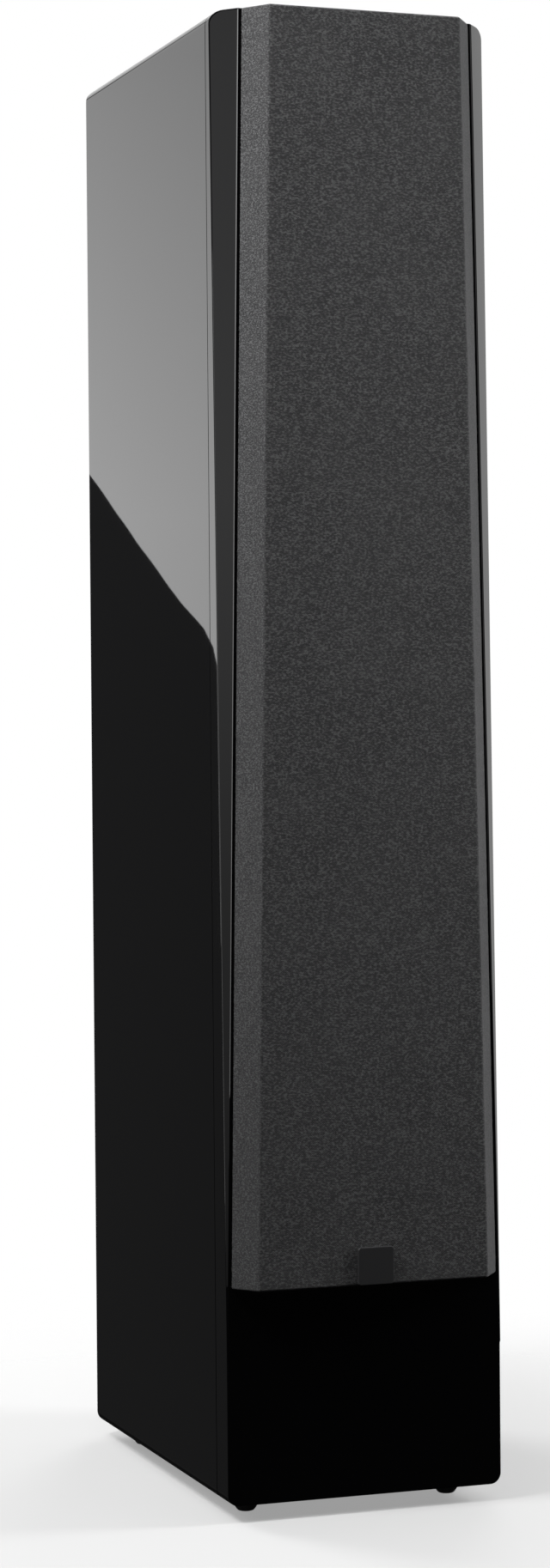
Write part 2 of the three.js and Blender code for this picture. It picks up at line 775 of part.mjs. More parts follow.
function terminalCup() {
  const halfW = terminalPlateWidth / 2;
  const halfH = terminalPlateHeight / 2;
  const front = clearance + terminalPlateThickness;
  const plate = extruded(roundedOutline(-halfW, -halfH, halfW, halfH, cornerRadius), clearance, front);
  const [cupW, cupH] = [halfW - terminalRim, halfH - terminalRim];
  const cup = block([-cupW, cupFloor - cupWall, -cupH], [cupW, clearance + overcut, cupH]);
  const recess = block(
    [-cupW + cupWall, cupFloor, -cupH + cupWall],
    [cupW - cupWall, front + overcut, cupH - cupWall],
  );
  const holes = postXs.map(
    (x) => rod(postRadius + boreClearance, cupFloor - cupWall - overcut, 0, x),
  );
  return cut(joined(plate, cup), recess, ...holes);
}

// Stud with a collar outside the cup, a nut inside it, a banana-plug bore and a wire hole.
function bindingPost() {
  const nutFront = cupFloor - cupWall - clearance;
  const nutBack = nutFront - postNutHeight;
  const end = knobBottom + knobLength - overcut;
  const stud = round([
    [0, nutBack - postTail],
    [postRadius, nutBack - postTail],
    [postRadius, nutBack],
    [postNutRadius, nutBack],
    [postNutRadius, nutFront],
    [postRadius, nutFront],
    [postRadius, cupFloor + clearance],
    [postCollarRadius, cupFloor + clearance],
    [postCollarRadius, collarTop],
    [postRadius, collarTop],
    [postRadius, end],
    [postBoreRadius, end],
    [postBoreRadius, end - postBoreDepth],
    [0, end - postBoreDepth],
  ], smallSides);
  const wireHole = uprightRod(
    postWireHoleRadius, -2 * postRadius, 2 * postRadius, 0, washerTop, 8,
  );
  return cut(stud, wireHole);
}

function clampWasher() {
  const inner = postRadius + boreClearance;
  const front = collarTop + clearance;
  return ring([[inner, front], [washerRadius, front], [washerRadius, washerTop], [inner, washerTop]],
    smallSides);
}

function bindingKnob() {
  const inner = postRadius + boreClearance;
  const end = knobBottom + knobLength;
  return ring([
    [inner, knobBottom],
    [knobRadius, knobBottom],
    [knobRadius, end - knobChamfer],
    [knobRadius - knobChamfer, end],
    [inner, end],
  ], driverSides);
}

piece('terminal_cup', 'plastic', terminalCup(), at(0, rearFace, terminalZ));
['negative', 'positive'].forEach((pole, i) => {
  const place = at(postXs[i], rearFace, terminalZ);
  piece(`binding_post_${pole}`, 'gold', bindingPost(), place);
  piece(`clamp_washer_${pole}`, 'gold', clampWasher(), place);
  piece(`binding_knob_${pole}`, 'gold', bindingKnob(), place);
});

// ---------------------------------------------------------------- crossover

function crossoverBoard() {
  const [halfW, halfL] = [boardWidth / 2, boardLength / 2];
  const underside = boardTop - boardThickness;
  const plate = block([-halfW, -halfL, underside], [halfW, halfL, boardTop]);
  const inset = 2 * boardStandoffRadius;
  const legs = [-1, 1].flatMap((sideX) => [-1, 1].map((sideY) => uprightRod(
    boardStandoffRadius, innerBottom + clearance, underside + boardThickness / 2,
    sideX * (halfW - inset), sideY * (halfL - inset),
  )));
  return joined(plate, ...legs);
}

function inductor() {
  const [bottom, top] = [boardTop + clearance, boardTop + clearance + inductorHeight];
  const profile = [
    [inductorBoreRadius, bottom], [inductorRadius, bottom], [inductorRadius, top], [inductorBoreRadius, top],
  ];
  return solid(turned(profile, driverSides, true).rotateX(Math.PI / 2));
}

function capacitor() {
  const half = capacitorLength / 2;
  const profile = [[0, -half], [capacitorRadius, -half], [capacitorRadius, half], [0, half]];
  const height = boardTop + clearance + capacitorRadius;
  return solid(turned(profile, driverSides).translate(0, 0, height));
}

piece('crossover_board', 'circuit', crossoverBoard());
piece('crossover_inductor', 'coil', inductor(), at(-boardWidth / 4, 0, 0));
piece('crossover_capacitor', 'film', capacitor(), at(boardWidth / 4, 0, 0));

// ---------------------------------------------------------------- feet

function foot() {
  const top = footHeight - clearance;
  const edge = 1;
  return solid(turned([
    [0, 0],
    [footBaseRadius - edge, 0],
    [footBaseRadius, edge],
    [footTopRadius, top],
    [footStudRadius, top],
    [footStudRadius, footHeight + footStudLength],
    [0, footHeight + footStudLength],
  ], driverSides).rotateX(Math.PI / 2));
}

['front', 'rear'].forEach((end, i) => {
  piece(`foot_${end}_left`, 'rubber', foot(), at(-footX, footYs[i], 0));
  piece(`foot_${end}_right`, 'rubber', foot(), at(footX, footYs[i], 0));
});

export default speaker;
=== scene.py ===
# %% [markdown]
# # A floorstanding speaker
# The object is a slim tower: a piano-black cabinet, a cloth grille that pulls off, and behind it
# a tweeter, a midrange and three woofers. The frame is loaded first. It holds every part at its
# real size and place, so the cells below only ask it where things are and make them look real.

# %% Load the frame
import math
import bpy
import numpy as np
from mathutils import Matrix, Vector, noise


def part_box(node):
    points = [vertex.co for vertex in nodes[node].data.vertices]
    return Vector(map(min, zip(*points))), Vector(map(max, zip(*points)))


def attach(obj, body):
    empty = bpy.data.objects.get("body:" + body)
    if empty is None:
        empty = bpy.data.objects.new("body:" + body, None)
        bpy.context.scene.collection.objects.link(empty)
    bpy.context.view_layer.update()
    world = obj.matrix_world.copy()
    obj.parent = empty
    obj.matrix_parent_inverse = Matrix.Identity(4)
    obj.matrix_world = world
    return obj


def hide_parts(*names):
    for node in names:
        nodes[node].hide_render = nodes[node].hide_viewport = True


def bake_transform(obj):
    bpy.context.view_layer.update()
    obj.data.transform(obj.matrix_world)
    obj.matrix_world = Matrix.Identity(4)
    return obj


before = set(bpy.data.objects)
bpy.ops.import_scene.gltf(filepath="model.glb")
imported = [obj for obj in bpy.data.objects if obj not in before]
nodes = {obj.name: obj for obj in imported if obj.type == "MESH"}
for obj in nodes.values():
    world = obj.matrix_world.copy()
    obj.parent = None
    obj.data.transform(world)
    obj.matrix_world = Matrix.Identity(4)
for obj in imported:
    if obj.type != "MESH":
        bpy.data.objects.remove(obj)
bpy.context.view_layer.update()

MM = 0.001


# %% [markdown]
# ## Places that every step uses
# A maker measures the cabinet once and works from its faces. The front of the baffle, the rear
# face and the cabinet's box come from the frame's own nodes, so a new size needs no new numbers.

# %% Measure the cabinet
def low(node):
    """The node's lowest corner."""
    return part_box(node)[0]


def high(node):
    """The node's highest corner."""
    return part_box(node)[1]


def middle(node):
    return (low(node) + high(node)) / 2


FRONT, BAFFLE_BACK = low("front_baffle").y, high("front_baffle").y
WRAP_FRONT, REAR = low("cabinet_wrap").y, high("cabinet_wrap").y
BOTTOM, TOP = low("front_baffle").z, high("front_baffle").z
HALF_WIDTH = high("front_baffle").x
CLEARANCE = WRAP_FRONT - BAFFLE_BACK
print(f"cabinet {2 * HALF_WIDTH:.3f} wide, {REAR - FRONT:.3f} deep, {TOP - BOTTOM:.3f} tall")


# %% [markdown]
# ## Camera
# A product shot uses a long lens from a few metres away, so that upright edges stay nearly
# parallel. The camera stands to the front left at about half the cabinet's height and looks a
# little to the right. Its turn is built from the direction it looks in and a slight roll.

# %% Camera
LENS_MM, SENSOR_MM, FARTHEST = 76.95, 36, 60
CAMERA_PLACE = Vector((-0.83302, FRONT - 2.16991, BOTTOM + 0.52539))
YAW, PITCH, ROLL = 0.340755, -0.012992, -0.007969

forward = Vector((math.sin(YAW) * math.cos(PITCH), math.cos(YAW) * math.cos(PITCH), math.sin(PITCH)))
level_right = Vector((math.cos(YAW), -math.sin(YAW), 0))
level_up = level_right.cross(forward)
camera_right = math.cos(ROLL) * level_right + math.sin(ROLL) * level_up
camera_up = math.cos(ROLL) * level_up - math.sin(ROLL) * level_right

camera = bpy.data.objects.new("camera", bpy.data.cameras.new("camera"))
bpy.context.scene.collection.objects.link(camera)
bpy.context.scene.camera = camera
camera.data.lens, camera.data.sensor_width = LENS_MM, SENSOR_MM
camera.data.clip_end = FARTHEST
turn_columns = Matrix((camera_right, camera_up, -forward)).transposed().to_4x4()
camera.matrix_world = Matrix.Translation(CAMERA_PLACE) @ turn_columns
print("camera at", [round(value, 3) for value in CAMERA_PLACE])


# %% [markdown]
# ## Shader wires
# A finish is a small graph: some noise, a few sums, and a shader. Written as nodes and links that
# is long and hard to read, so a socket is wrapped in a class whose + - * / make the Math nodes.
# Finishes can then be written the way a maker would say them, such as base plus a little grain.

# %% Wires and finishes
class Wire:
    """An output socket that can be used in sums."""

    def __init__(self, paint, socket):
        self.paint, self.socket = paint, socket

    def maths(self, operation, *values):
        return self.paint.node("ShaderNodeMath", {"operation": operation}, dict(enumerate(values)))

    def __add__(self, other):
        return self.maths("ADD", self, other)

    def __sub__(self, other):
        return self.maths("SUBTRACT", self, other)

    def __rsub__(self, other):
        return self.maths("SUBTRACT", other, self)

    def __mul__(self, other):
        return self.maths("MULTIPLY", self, other)

    def __truediv__(self, other):
        return self.maths("DIVIDE", self, other)

    __radd__ = __add__
    __rmul__ = __mul__

    def sine(self):
        return self.maths("SINE", self)

    def size(self):
        return self.maths("ABSOLUTE", self)

    def above(self, edge):
        return self.maths("GREATER_THAN", self, edge)


class Paint:
    """A material, its Principled shader and the nodes that feed it."""

    def __init__(self, name, colour, **constants):
        self.material = bpy.data.materials.new(name)
        self.material.use_nodes = True
        self.tree = self.material.node_tree
        self.shader = self.tree.nodes["Principled BSDF"]
        self.material.diffuse_color = (*colour, 1)
        self.feed(self.shader.inputs["Base Color"], (*colour, 1))
        for socket, value in constants.items():
            self.feed(self.shader.inputs[socket.replace("_", " ")], value)

    def feed(self, socket, value):
        if isinstance(value, Wire):
            self.tree.links.new(value.socket, socket)
        else:
            socket.default_value = value

    def node(self, kind, settings, sockets, output=0):
        """Any node: its settings first, then the values or links of its sockets."""
        made = self.tree.nodes.new(kind)
        for setting, value in settings.items():
            setattr(made, setting, value)
        for socket, value in sockets.items():
            self.feed(made.inputs[socket], value)
        return Wire(self, made.outputs[output])

    def place(self, stretch=(1, 1, 1)):
        """Object coordinates in metres, stretched along the axes."""
        where = self.node("ShaderNodeTexCoord", {}, {}, "Object")
        return self.node("ShaderNodeVectorMath", {"operation": "MULTIPLY"}, {0: where, 1: stretch})

    def split(self, vector):
        return [self.node("ShaderNodeSeparateXYZ", {}, {0: vector}, axis) for axis in range(3)]

    def join(self, x, y, z):
        return self.node("ShaderNodeCombineXYZ", {}, {0: x, 1: y, 2: z})

    def grain(self, size, stretch=(1, 1, 1), detail=2.0, where=None):
        """Noise from 0 to 1 whose features are about size metres across."""
        where = where or self.place(stretch)
        return self.node("ShaderNodeTexNoise", {}, {"Vector": where, "Scale": 1 / size, "Detail": detail})

    def step(self, value, start, end):
        """0 below start, 1 above end, and smooth between."""
        return self.node("ShaderNodeMapRange", {"interpolation_type": "SMOOTHSTEP"},
                         {"Value": value, "From Min": start, "From Max": end})

    def blend(self, share, first, second):
        """A colour between first and second."""
        mix = self.tree.nodes.new("ShaderNodeMix")
        mix.data_type = "RGBA"
        for index, value in ((0, share), (6, first), (7, second)):
            if not isinstance(value, (Wire, float, int)):
                value = (*value, 1)
            self.feed(mix.inputs[index], value)
        return Wire(self, mix.outputs[2])

    def colour(self, wire):
        self.feed(self.shader.inputs["Base Color"], wire)
        return self

    def tones(self, share, first, second):
        """The surface is first where share is 0 and second where it is 1."""
        return self.colour(self.blend(share, first, second))

    def rough(self, wire):
        self.feed(self.shader.inputs["Roughness"], wire)
        return self

    def bump(self, height, depth):
        """Raises the surface by height, from 0 to 1, times depth in metres."""
        raised = self.node("ShaderNodeBump", {}, {"Height": height, "Distance": depth}, "Normal")
        self.feed(self.shader.inputs["Normal"], raised)
        return self


# %% [markdown]
# ## Finishes
# Each finish is a base colour with the grain, wear or weave that the real material has, at its
# real scale. Lacquer is sprayed and polished, so it has only a very slight ripple and fine
# swirls. Moulded plastic has a spark-eroded grain. Rubber is dusty. Metals are turned.

# %% Cabinet finishes
lacquer = Paint("piano_black_lacquer", (0.0012, 0.0012, 0.0014), Roughness=0.03, IOR=1.5)
swirls = lacquer.grain(0.012, stretch=(1, 6, 1), detail=4)
lacquer.rough(0.004 + swirls * 0.012)
lacquer.bump(lacquer.grain(0.06, detail=0), 0.000012)

rear_vinyl = Paint("rear_panel_vinyl", (0.012, 0.012, 0.012), Roughness=0.5)
pebbles = rear_vinyl.grain(0.0016, detail=3)
rear_vinyl.tones(pebbles, (0.007, 0.007, 0.007), (0.017, 0.017, 0.018))
rear_vinyl.rough(0.38 + pebbles * 0.25).bump(pebbles, 0.0002)

fibreboard = Paint("fibreboard", (0.33, 0.22, 0.13), Roughness=0.9)
fibres = fibreboard.grain(0.0018, stretch=(1, 1, 3), detail=6)
flecks = fibreboard.step(fibreboard.grain(0.004, detail=5), 0.6, 0.72)
board_colour = fibreboard.blend(fibres, (0.25, 0.16, 0.09), (0.42, 0.29, 0.17))
fibreboard.tones(flecks * 0.4, board_colour, (0.16, 0.1, 0.06))
fibreboard.bump(fibres, 0.00025)

foot_rubber = Paint("foot_rubber", (0.012, 0.012, 0.012), Roughness=0.7)
dust = foot_rubber.step(foot_rubber.grain(0.006, detail=5), 0.45, 0.8)
foot_rubber.tones(dust * 0.5, (0.009, 0.009, 0.009), (0.04, 0.039, 0.037))
foot_rubber.rough(0.6 + dust * 0.25).bump(foot_rubber.grain(0.0006), 0.00005)


# %% Moulded plastic and gloss badge
moulded = Paint("moulded_plastic", (0.013, 0.013, 0.014), Roughness=0.45)
spark = moulded.grain(0.0005, detail=3)
handling = moulded.step(moulded.grain(0.03, detail=4), 0.4, 0.75)
moulded.tones(handling * 0.5, (0.011, 0.011, 0.012), (0.02, 0.02, 0.021))
moulded.rough(0.34 + spark * 0.16 + handling * 0.08).bump(spark, 0.00006)

badge_gloss = Paint("badge_gloss", (0.028, 0.028, 0.029), Roughness=0.08)
scuffs = badge_gloss.grain(0.003, stretch=(1, 1, 5), detail=5)
badge_gloss.rough(0.06 + badge_gloss.step(scuffs, 0.5, 0.8) * 0.16)
badge_gloss.bump(badge_gloss.grain(0.008, detail=1), 0.00002)


# %% [markdown]
# ## Grille cloth finish
# Speaker cloth is a fine polyester knit: rows of small loops with dark holes between them. Seen
# from two metres it is a dark grey with lighter specks that run in short rows. The loops are two
# sine waves at right angles, pushed about by noise so that no two are alike, and the specks are a
# wider, sideways noise. The sideways distance grows down the bevels, so that loops don't stretch.

# %% Grille cloth
LOOP_PITCH, SLOPE_SHARE, ROW_SQUASH = 0.0011, 0.55, 1.9
cloth_paint = Paint("grille_cloth_knit", (0.03, 0.03, 0.031), Roughness=0.85, Sheen_Weight=0.25,
                    Sheen_Roughness=0.45, Specular_IOR_Level=0.1)
across, depth, height = cloth_paint.split(cloth_paint.place())
around = across.size() + (depth - low("grille_cloth").y) * SLOPE_SHARE
row_sign = across.above(0) * 2 - 1
wander = cloth_paint.grain(0.005, detail=3)
wave = 2 * math.pi / LOOP_PITCH
stitch = (around * wave + wander * 9).sine() * (height * wave + wander * 7).sine()
loops = 0.5 + 0.5 * stitch
cloth_place = cloth_paint.join(around * row_sign, depth, height * ROW_SQUASH)
specks = cloth_paint.grain(0.0016, detail=3, where=cloth_place)
bright = cloth_paint.step(specks, 0.42, 0.68)
patches = cloth_paint.step(cloth_paint.grain(0.05, detail=3), 0.3, 0.7)
knit = cloth_paint.blend(bright, (0.025, 0.025, 0.026), (0.098, 0.098, 0.100))
knit = cloth_paint.blend(loops * 0.35, knit, (0.018, 0.018, 0.018))
cloth_paint.tones(patches * 0.12, knit, (0.06, 0.06, 0.06))
cloth_paint.rough(0.75 + bright * 0.15).bump(loops * 0.6 + specks * 0.8, 0.0004)
print("materials so far", len(bpy.data.materials))


# %% Driver finishes
def ringed(paint, node, pitch):
    """Fine rings about the Y axis through a node's middle, as a lathe or a mould leaves."""
    centre = middle(node)
    x, _, z = paint.split(paint.place())
    along, up = x - centre.x, z - centre.z
    radius = along.maths("SQRT", along * along + up * up)
    return 0.5 + 0.5 * (radius * (2 * math.pi / pitch)).sine()


def cone_finish(name, node):
    """Mineral-filled polypropylene: near black, faintly speckled, with moulding rings."""
    paint = Paint(f"{name}_polypropylene", (0.02, 0.02, 0.021), Roughness=0.42)
    mica = paint.step(paint.grain(0.0007, detail=4), 0.62, 0.72)
    paint.tones(mica * 0.5, (0.012, 0.012, 0.013), (0.09, 0.09, 0.092))
    paint.rough(0.36 + paint.grain(0.01, detail=3) * 0.18)
    return paint.bump(ringed(paint, node, 0.0022) * 0.4 + mica * 0.2, 0.00012)


surround_rubber = Paint("surround_rubber", (0.012, 0.012, 0.012), Roughness=0.55)
bloom = surround_rubber.step(surround_rubber.grain(0.02, detail=5), 0.4, 0.8)
surround_rubber.tones(bloom * 0.5, (0.009, 0.009, 0.009), (0.03, 0.03, 0.031))
surround_rubber.rough(0.42 + bloom * 0.25).bump(surround_rubber.grain(0.0008), 0.00005)


def weave(paint, waves):
    """Threads that cross at right angles in the X and Z directions."""
    x, _, z = paint.split(paint.place())
    return ((x * waves).sine() * (z * waves).sine()) * 0.5 + 0.5


dome_silk = Paint("dome_silk", (0.03, 0.03, 0.032), Roughness=0.6, Sheen_Weight=0.3)
threads = weave(dome_silk, 9000)
dome_silk.tones(threads, (0.014, 0.014, 0.016), (0.05, 0.05, 0.054))
dome_silk.rough(0.5 + threads * 0.2).bump(threads, 0.0001)

spider_cloth = Paint("spider_cloth", (0.45, 0.3, 0.1), Roughness=0.8)
resin = spider_cloth.grain(0.01, detail=4)
spider_weave = weave(spider_cloth, 5200)
spider_cloth.tones(resin, (0.32, 0.19, 0.05), (0.55, 0.38, 0.15))
spider_cloth.rough(0.6 + spider_weave * 0.25).bump(spider_weave, 0.0002)

screw_steel = Paint("screw_steel", (0.05, 0.05, 0.052), Roughness=0.35, Metallic=0.9)
oxide = screw_steel.grain(0.002, detail=4)
screw_steel.tones(oxide, (0.035, 0.035, 0.037), (0.11, 0.11, 0.115))
screw_steel.rough(0.28 + oxide * 0.25)


# %% Magnets: a ferrite ring between two zinc-plated steel plates
PLATE = 5 * MM


def magnet_finish(name):
    front, back = low(name).y, high(name).y
    paint = Paint(f"{name}_ferrite_and_steel", (0.05, 0.05, 0.052), Roughness=0.5)
    _, y, _ = paint.split(paint.place())
    steel = 1 - (y.above(front + PLATE) * (1 - y.above(back - PLATE)))
    grit = paint.grain(0.0012, detail=5)
    zinc = paint.blend(grit, (0.42, 0.42, 0.4), (0.56, 0.56, 0.53))
    ferrite = paint.blend(grit, (0.025, 0.025, 0.027), (0.06, 0.06, 0.062))
    paint.tones(steel, ferrite, zinc)
    paint.rough(0.72 - steel * 0.35 + grit * 0.1).bump(grit, 0.0001)
    paint.feed(paint.shader.inputs["Metallic"], steel)
    return paint


# %% Terminal and crossover finishes
gold = Paint("gold_plate", (0.83, 0.58, 0.22), Roughness=0.25, Metallic=1.0)
tarnish = gold.step(gold.grain(0.004, detail=5), 0.45, 0.75)
gold.tones(tarnish * 0.5, (0.86, 0.61, 0.24), (0.55, 0.36, 0.13))
gold.rough(0.18 + tarnish * 0.2).bump(gold.grain(0.0008, stretch=(1, 8, 1)), 0.00002)


def knob_plastic(name, colour, worn):
    """Tinted knob rings, paler where fingers have rubbed them."""
    paint = Paint(name, colour, Roughness=0.4)
    rubbed = paint.step(paint.grain(0.003, detail=5), 0.5, 0.8)
    paint.tones(rubbed * 0.4, colour, worn)
    return paint.rough(0.3 + rubbed * 0.2).bump(paint.grain(0.0007), 0.00003)


red_plastic = knob_plastic("red_ring", (0.42, 0.012, 0.01), (0.55, 0.08, 0.06))
black_plastic = knob_plastic("black_ring", (0.012, 0.012, 0.013), (0.05, 0.05, 0.052))

copper = Paint("enamelled_copper", (0.6, 0.22, 0.08), Roughness=0.3, Metallic=0.9)
_, _, wound_height = copper.split(copper.place())
turns = 0.5 + 0.5 * (wound_height * (2 * math.pi / 0.0016)).sine()
copper.tones(turns, (0.25, 0.07, 0.02), (0.72, 0.28, 0.1))
copper.rough(0.22 + copper.grain(0.003) * 0.2).bump(turns, 0.0004)

circuit = Paint("circuit_board", (0.01, 0.09, 0.03), Roughness=0.35)
track_x, track_y, _ = circuit.split(circuit.place())
track_noise = circuit.grain(0.012, detail=0)
track_waves = (track_x * 420).sine() * 0.5 + (track_y * 260).sine() * 0.5
tracks = circuit.step((track_waves + track_noise * 2).sine(), 0.35, 0.45)
circuit.tones(tracks, (0.006, 0.06, 0.02), (0.02, 0.17, 0.06))
circuit.rough(0.3 + circuit.grain(0.002) * 0.15).bump(tracks, 0.00008)

film = Paint("capacitor_film", (0.6, 0.46, 0.12), Roughness=0.3)
_, film_y, _ = film.split(film.place())
end_cap = film_y.size().above(high("crossover_capacitor").y - 0.003)
film_wrinkle = film.grain(0.004, stretch=(1, 0.3, 1), detail=4)
film_colour = film.blend(film_wrinkle, (0.5, 0.36, 0.07), (0.68, 0.52, 0.16))
film.tones(end_cap, film_colour, (0.3, 0.29, 0.27))
film.rough(0.25 + film_wrinkle * 0.2).bump(film_wrinkle, 0.0002)
print("materials", len(bpy.data.materials))


# %% [markdown]
# ## Shaping by hand
# Most pieces here are either turned on a lathe or cut from a slab. A turned piece is half of its
# section, drawn as a row of points and spun round its axis. A slab is a cube with rounded corners.
# These few helpers do what a hand would do with the mouse, and leave each piece closed, with its
# faces outwards and its origin at the frame's origin.

# %% Starting and finishing a piece
def shaped(name):
    """Leaves edit mode, names the piece and puts its place into its mesh."""
    if bpy.context.object.mode == "EDIT":
        bpy.ops.object.mode_set(mode="OBJECT")
    piece = bpy.context.object
    bpy.ops.object.transform_apply(location=True, rotation=True, scale=True)
    piece.name = piece.data.name = name
    return piece


def select_only(piece):
    if bpy.context.object and bpy.context.object.mode == "EDIT":
        bpy.ops.object.mode_set(mode="OBJECT")
    bpy.ops.object.select_all(action="DESELECT")
    piece.select_set(True)
    bpy.context.view_layer.objects.active = piece


def block(name, first, second):
    """A cube stretched between two corners."""
    bpy.ops.object.select_all(action="DESELECT")
    first, second = Vector(first), Vector(second)
    bpy.ops.mesh.primitive_cube_add(size=1, location=(first + second) / 2, scale=second - first)
    return shaped(name)


def pick(piece, kind, chosen):
    """Enters edit mode with only the faces or edges selected whose middle and direction fit."""
    select_only(piece)
    bpy.ops.object.mode_set(mode="EDIT")
    bpy.ops.mesh.select_mode(type=kind)
    bpy.ops.mesh.select_all(action="DESELECT")
    bpy.ops.object.mode_set(mode="OBJECT")
    points = piece.data.vertices
    if kind == "FACE":
        for face in piece.data.polygons:
            face.select = bool(chosen(face.center, face.normal))
    else:
        for edge in piece.data.edges:
            start, end = (points[index].co for index in edge.vertices)
            edge.select = bool(chosen((start + end) / 2, (end - start).normalized()))
    bpy.ops.object.mode_set(mode="EDIT")


def slab(name, first, second, radius, steps=8):
    """A block with its four edges along Y rounded."""
    piece = block(name, first, second)
    pick(piece, "EDGE", lambda place, way: abs(way.y) > 0.9)
    bpy.ops.mesh.bevel(offset=radius, segments=steps)
    return shaped(name)


def carve(piece, *cutters, operation="DIFFERENCE"):
    """Cuts pieces out of a piece, or joins them to it, and removes them."""
    for cutter in cutters:
        select_only(piece)
        change = piece.modifiers.new("carve", "BOOLEAN")
        change.operation, change.object, change.solver = operation, cutter, "EXACT"
        bpy.ops.object.modifier_apply(modifier="carve")
        bpy.data.objects.remove(cutter)
    return piece


def soften(piece, width, segments=2, angle=30):
    """Rounds every sharp edge by width, in millimetres."""
    select_only(piece)
    change = piece.modifiers.new("soften", "BEVEL")
    change.width, change.segments = width * MM, segments
    change.limit_method, change.angle_limit = "ANGLE", math.radians(angle)
    bpy.ops.object.modifier_apply(modifier="soften")
    return piece


def smooth(piece, angle=35):
    """Smooth shading that keeps flat faces flat beside their rounded edges."""
    select_only(piece)
    bpy.ops.object.shade_smooth_by_angle(angle=math.radians(angle))
    change = piece.modifiers.new("flat", "WEIGHTED_NORMAL")
    change.keep_sharp, change.weight = True, 100
    bpy.ops.object.modifier_apply(modifier="flat")
    return piece


def finish(piece, paint, body, slot, *stands_for):
    """Gives a piece its finish and the body that it moves with."""
    piece.data.materials.clear()
    piece.data.materials.append(paint.material)
    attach(piece, body)
    if stands_for:
        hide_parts(*stands_for)
    return piece


# %% Turning
def turned(name, section, centre, sides=64, upright=False):
    """Spins a closed section of (radius, along) points, in millimetres, round an axis through
    centre. The axis runs along Y, or along Z for an upright piece."""
    bpy.ops.object.select_all(action="DESELECT")
    centre = Vector(centre)
    along = Vector((0, 0, 1)) if upright else Vector((0, 1, 0))
    places = [centre + Vector((radius * MM, 0, 0)) + along * y * MM for radius, y in section]
    bpy.ops.mesh.primitive_plane_add(size=MM, location=(0, 0, 0))
    bpy.ops.object.mode_set(mode="EDIT")
    bpy.ops.mesh.select_mode(type="VERT")
    bpy.ops.mesh.select_all(action="SELECT")
    bpy.ops.mesh.merge(type="CENTER")
    bpy.ops.transform.translate(value=places[0])
    on_axis = section[0][0] == section[-1][0] == 0
    for start, end in zip(places, places[1:] + ([] if on_axis else places[:1])):
        bpy.ops.mesh.extrude_region_move(TRANSFORM_OT_translate={"value": end - start})
    bpy.ops.mesh.select_all(action="SELECT")
    bpy.ops.mesh.spin(steps=sides, angle=2 * math.pi, center=centre, axis=along)
    bpy.ops.mesh.select_all(action="SELECT")
    bpy.ops.mesh.remove_doubles(threshold=0.004 * MM)
    bpy.ops.mesh.normals_make_consistent(inside=False)
    return shaped(name)


def arc(radius, along, size, start, end, steps):
    """Points on a circle about (radius, along), from one angle to another, in degrees."""
    angles = [math.radians(start + (end - start) * step / steps) for step in range(steps + 1)]
    return [(radius + size * math.cos(angle), along + size * math.sin(angle)) for angle in angles]


def copied(piece, name, move):
    """A copy with its own mesh, moved inside the mesh."""
    twin = piece.copy()
    twin.data = piece.data.copy()
    bpy.context.scene.collection.objects.link(twin)
    twin.location = move
    select_only(twin)
    return shaped(name)


def joined(name, pieces):
    """Several pieces as one mesh."""
    bpy.ops.object.select_all(action="DESELECT")
    for piece in pieces:
        piece.select_set(True)
    bpy.context.view_layer.objects.active = pieces[0]
    bpy.ops.object.join()
    return shaped(name)


# %% [markdown]
# ## Cabinet
# The body is a sleeve of board, mitred and glued, with a thicker baffle in front. It is sanded,
# sealed and sprayed as one, so no joint shows in the lacquer. Here the baffle reaches back to the
# sleeve for that reason. Its two front edges are planed off at a slant that runs out near the
# foot, which a bisect does in one stroke, and each arris is eased so that it catches the light.

# %% Baffle block and facets
FACET_WIDTH, FACET_DEPTH, FACET_END = 15.5 * MM, 17 * MM, 100 * MM
CORNER, ARRIS = 8 * MM, 1.2 * MM


def facet_plane(side):
    """A point on the slanted facet and its outward direction."""
    foot = Vector((side * HALF_WIDTH, FRONT, BOTTOM + FACET_END))
    inner = Vector((side * (HALF_WIDTH - FACET_WIDTH), FRONT, TOP)) - foot
    outer = Vector((side * HALF_WIDTH, FRONT + FACET_DEPTH, TOP)) - foot
    outward = inner.cross(outer).normalized()
    return foot, outward if outward.x * side > 0 else -outward


baffle = slab("cabinet_baffle", (-HALF_WIDTH, FRONT, BOTTOM), (HALF_WIDTH, WRAP_FRONT, TOP), CORNER)
for side in (-1, 1):
    foot, outward = facet_plane(side)
    pick(baffle, "FACE", lambda place, way: True)
    bpy.ops.mesh.bisect(plane_co=foot, plane_no=outward, use_fill=True, clear_outer=True, threshold=1e-6)
    baffle = shaped("cabinet_baffle")
select_only(baffle)
bpy.ops.object.mode_set(mode="EDIT")
bpy.ops.mesh.select_mode(type="EDGE")
bpy.ops.mesh.select_all(action="DESELECT")
bpy.ops.mesh.edges_select_sharp(sharpness=math.radians(20))
bpy.ops.object.mode_set(mode="OBJECT")
for edge in baffle.data.edges:
    if all(baffle.data.vertices[index].co.y > WRAP_FRONT - 0.1 * MM for index in edge.vertices):
        edge.select = False
bpy.ops.object.mode_set(mode="EDIT")
bpy.ops.mesh.bevel(offset=ARRIS, segments=3)
baffle = shaped("cabinet_baffle")
print("baffle faces", len(baffle.data.polygons))


# %% Holes for the drivers and the grille's pegs
CONE_NAMES = ("woofer_upper", "woofer_middle", "woofer_lower", "midrange")
DRIVERS = {name: f"{name}_basket" for name in CONE_NAMES} | {"tweeter": "tweeter_faceplate"}
CUTOUT = {"woofer": 73, "midrange": 57, "tweeter": 34}
SOCKETS = [name for name in nodes if name.startswith("grille_socket")]
CHAMFER, PLAY, REBATE, SOCKET_DEPTH = 0.6, 0.3, 4.3, 11.6


